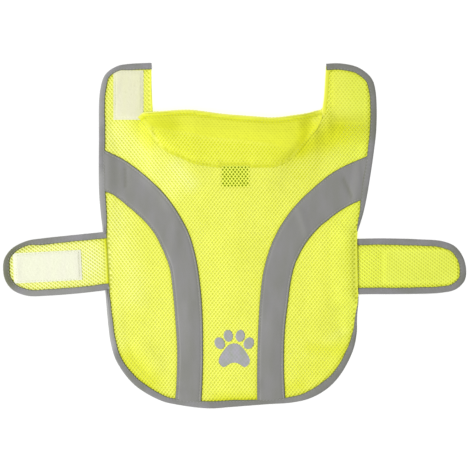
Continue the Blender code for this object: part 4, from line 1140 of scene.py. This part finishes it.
def add_label(columns=28, rows=20):
    """The bare woven label sewn under the neckline, seen through the net."""
    left, right, bottom, top = LABEL_BOX
    x, y = np.linspace(left - 1.8, right + 1.8, columns), np.linspace(bottom - 1.2, top + 6.0, rows)
    gx, gy = np.meshgrid(x, y)
    plan = np.column_stack([gx.ravel(), gy.ravel()])
    count = len(plan)
    upper = np.column_stack([plan, PANEL(plan) - HOLE_DEPTH - 0.15])
    lower = upper - np.array((0.0, 0.0, 0.4))
    faces = grid_faces(rows, columns) + flipped(grid_faces(rows, columns, count))
    rim = [*range(columns), *range(2 * columns - 1, count, columns),
           *range(count - 2, count - columns - 1, -1), *range(count - 2 * columns, 0, -columns)]
    faces += [(a, a + count, b + count, b) for a, b in zip(rim, rim[1:] + rim[:1])]
    return add_piece("label_cloth", np.vstack([upper, lower]), faces, LABEL, ("label",))


def sweep(line, side, profile, width=0.0):
    """Points of a profile swept along a line of the panel. Profile rows: share of the width, plus, lift."""
    plans = [offset(line, side * (width * share + plus)) for share, plus, _ in profile]
    return np.stack([np.column_stack([plan, PANEL(plan) + row[2]]) for plan, row in zip(plans, profile)], axis=1)


PLAIN_HEM = ((1.0, 0.7, 0.05), (1.0, 0.1, 0.26), (0.7, 0.0, 0.38), (0.35, 0.0, 0.44), (0.0, 0.7, 0.42),
             (0.0, 0.2, 0.22), (0.0, 0.0, 0.0), (0.0, 0.2, -0.24), (0.0, 0.8, -0.36), (1.0, 0.6, -0.36))
ROLLED_HEM = ((0.0, 0.8, 0.05), (0.0, 0.45, 0.16), (0.0, 0.1, 0.0), (0.0, 0.0, -0.4), (0.0, 0.2, -0.8),
              (0.0, 0.9, -1.1), (0.0, 2.0, -1.3), (0.0, 5.0, -1.5), (0.0, 9.0, -1.5))


def add_plain_hem(name, line, side, width, dive=0.01, soil=0.0):
    """A folded plain edge of the cloth, which comes out from under the net over its first `dive`."""
    line = resample(line, 1.2)
    rings = sweep(line, side, PLAIN_HEM, width)
    s = length_along(line)
    rings[:, :, 2] += 0.06 * np.sin(CIRCLE * s / 3.4)[:, None] - fall(s, dive)[:, None]
    # Painted shade: the rows where it meets the net are painted deeper, and the whole hem darker by the given amount
    tone = np.tile([-0.9, -0.7, -0.5, -0.5, -0.3] + [0.0] * (len(PLAIN_HEM) - 5), len(rings))
    return add_piece(name, rings.reshape(-1, 3), flipped(grid_faces(len(rings), len(PLAIN_HEM)), side < 0), MESH,
                     values={"tone": tone, "soil": np.full(len(tone), soil)})


def add_rolled_edge():
    """The right side's edge, rolled over and turned under above the belly strap."""
    line = resample(fine(ROLLED_EDGE), 1.2)
    rings = sweep(line, -1, ROLLED_HEM)
    over_strap = np.abs(line[:, 1] - STRAP_MIDDLE) < 30.0
    floor_z = np.where(over_strap, np.minimum(STRAP_R(line) + 0.45, PANEL(line) - 0.15), 0.15)
    rings[:, :, 2] = np.maximum(rings[:, :, 2], floor_z[:, None])
    count = rings.size // 3
    # The rolled edge is painted deeper and darker all over: painted shade on the roll's side, where it turns under
    return add_piece("rolled_edge", rings.reshape(-1, 3), flipped(grid_faces(len(rings), len(ROLLED_HEM))), MESH,
                     values={"tone": np.full(count, -0.7), "soil": np.full(count, 0.42)})


# ---------------------------------------------------------------- the whole vest

panel_net = add_net("back_panel_net", "back_panel", MESH, "mesh", panel_outline(), 0.0, PANEL, PANEL_EDGES, 11,
                    PAD_NECK_RIGHT, openness=lambda points: 1.0 + 3.6 * label_share(points), lean=panel_lean)
strap_left_net = add_net("belly_strap_left_net", "belly_strap_left", MESH_CROSS, "mesh_crosswise",
                         np.vstack([cloth_edge("strap_left"), resample(STRAP_SEAM_LEFT[::-1], FINE_STEP)]),
                         94.0, STRAP_L, LEFT_EDGES, 12)
strap_right_net = add_net("belly_strap_right_net", "belly_strap_right", MESH_CROSS, "mesh_crosswise",
                          cloth_edge("strap_right"), 90.0, STRAP_R, RIGHT_EDGES, 13, PAD_BELLY_RIGHT)
collar_net, collar_parts = add_collar()

panel_bindings = add_binding("neck_tape_left", "neck_left", PANEL, 2.6)
panel_bindings += add_binding("neck_tape_right", "neck_right", PANEL)
panel_bindings += add_binding("hem_tape", "hem", PANEL, 1.8)
strap_left_tape = add_binding("strap_tape_left", "strap_left", STRAP_L)
strap_right_tape = add_binding("strap_tape_right", "strap_right", STRAP_R)

band_left, band_left_threads = add_band("band_left", BAND_LEFT)
band_right, band_right_threads = add_band("band_right", BAND_RIGHT)

# The two seen pads have squarer corners here, which run under the tape
pads_left_neck = add_pad("neck_pad_left", "pad_neck_left", (*PAD_NECK_LEFT[:6], 2.6), "neck_left", PANEL, 60,
                         PILE_GREY, THREAD_PALE, 0.20, 0.65)
pads_left_belly = add_pad("belly_pad_left", "pad_belly_left", (*PAD_BELLY_LEFT[:5], 1.6, 1.2), "strap_left",
                          STRAP_L, 62, PILE, THREAD_PALE, 0.25, 0.9)
pads_right_neck = add_pad("neck_pad_right", "pad_neck_right", PAD_NECK_RIGHT, "neck_right", PANEL, 64,
                          HOOKS, THREAD, -0.75, 0.8)
pads_right_belly = add_pad("belly_pad_right", "pad_belly_right", PAD_BELLY_RIGHT, "strap_right", STRAP_R, 66,
                           HOOKS, THREAD, -0.75, 0.8)
paw = add_paw()
label = add_label()
hem_left = add_plain_hem("neck_strap_edge_left", fine(INNER_EDGE_LEFT)[:-3], 1, 1.0)
tucked_start = ((85.2, 117.4), (86.9, 123.2))      # under the collar's right end
hem_right = add_plain_hem("neck_strap_edge_right", np.vstack([tucked_start, fine(INNER_EDGE_RIGHT)[:-3]]), -1, 3.4,
                          dive=7.0, soil=0.07)
rolled = add_rolled_edge()

# ---------------------------------------------------------------- floor, light and camera, in metres

floor_mesh = bpy.data.meshes.new("floor")
floor_mesh.from_pydata([(-6.0, -6.0, 0.0), (6.0, -6.0, 0.0), (6.0, 6.0, 0.0), (-6.0, 6.0, 0.0)], [], [(0, 1, 2, 3)])
floor = bpy.data.objects.new("floor", floor_mesh)
bpy.context.scene.collection.objects.link(floor)
table = Look("white_table")
floor_mesh.materials.append(table.finish(
    table.mix(table.noise(9.0), (0.93, 0.93, 0.93), (0.95, 0.95, 0.95)), Roughness=0.9))

world = bpy.data.worlds.new("soft_room")
bpy.context.scene.world = world
world.use_nodes = True
background = world.node_tree.nodes["Background"]
background.inputs["Color"].default_value = (1.0, 1.0, 1.0, 1.0)
background.inputs["Strength"].default_value = 0.64


def add_light(name, place, size, power):
    """A large soft square lamp that points at the vest's middle."""
    lamp = bpy.data.lights.new(name, "AREA")
    lamp.shape, lamp.size, lamp.energy = "SQUARE", size, power
    thing = bpy.data.objects.new(name, lamp)
    thing.location = place
    thing.rotation_mode = "QUATERNION"
    thing.rotation_quaternion = (-Vector(place)).to_track_quat("-Z", "Y")
    bpy.context.scene.collection.objects.link(thing)
    return thing


key = add_light("key", (-1.80, -0.28, 1.90), 0.95, 63.0)
table_light = add_light("table_light", (0.0, 0.0, 2.4), 1.6, 38.0)
table_only, not_table = bpy.data.collections.new("table_only"), bpy.data.collections.new("not_table")
table_only.objects.link(floor)
table_light.light_linking.receiver_collection = table_only
table_light.light_linking.blocker_collection = table_only
not_table.objects.link(floor)
not_table.collection_objects[0].light_linking.link_state = "EXCLUDE"
key.light_linking.receiver_collection = not_table

camera = bpy.data.objects.new("camera", bpy.data.cameras.new("camera"))
camera.data.lens = 150.0
camera.data.sensor_width = 36.0
camera.location = (0.00035, 0.00065, 1.9583)
bpy.context.scene.collection.objects.link(camera)
bpy.context.scene.camera = camera
bpy.context.scene.view_settings.view_transform = "Standard"

bpy.context.view_layer.update()
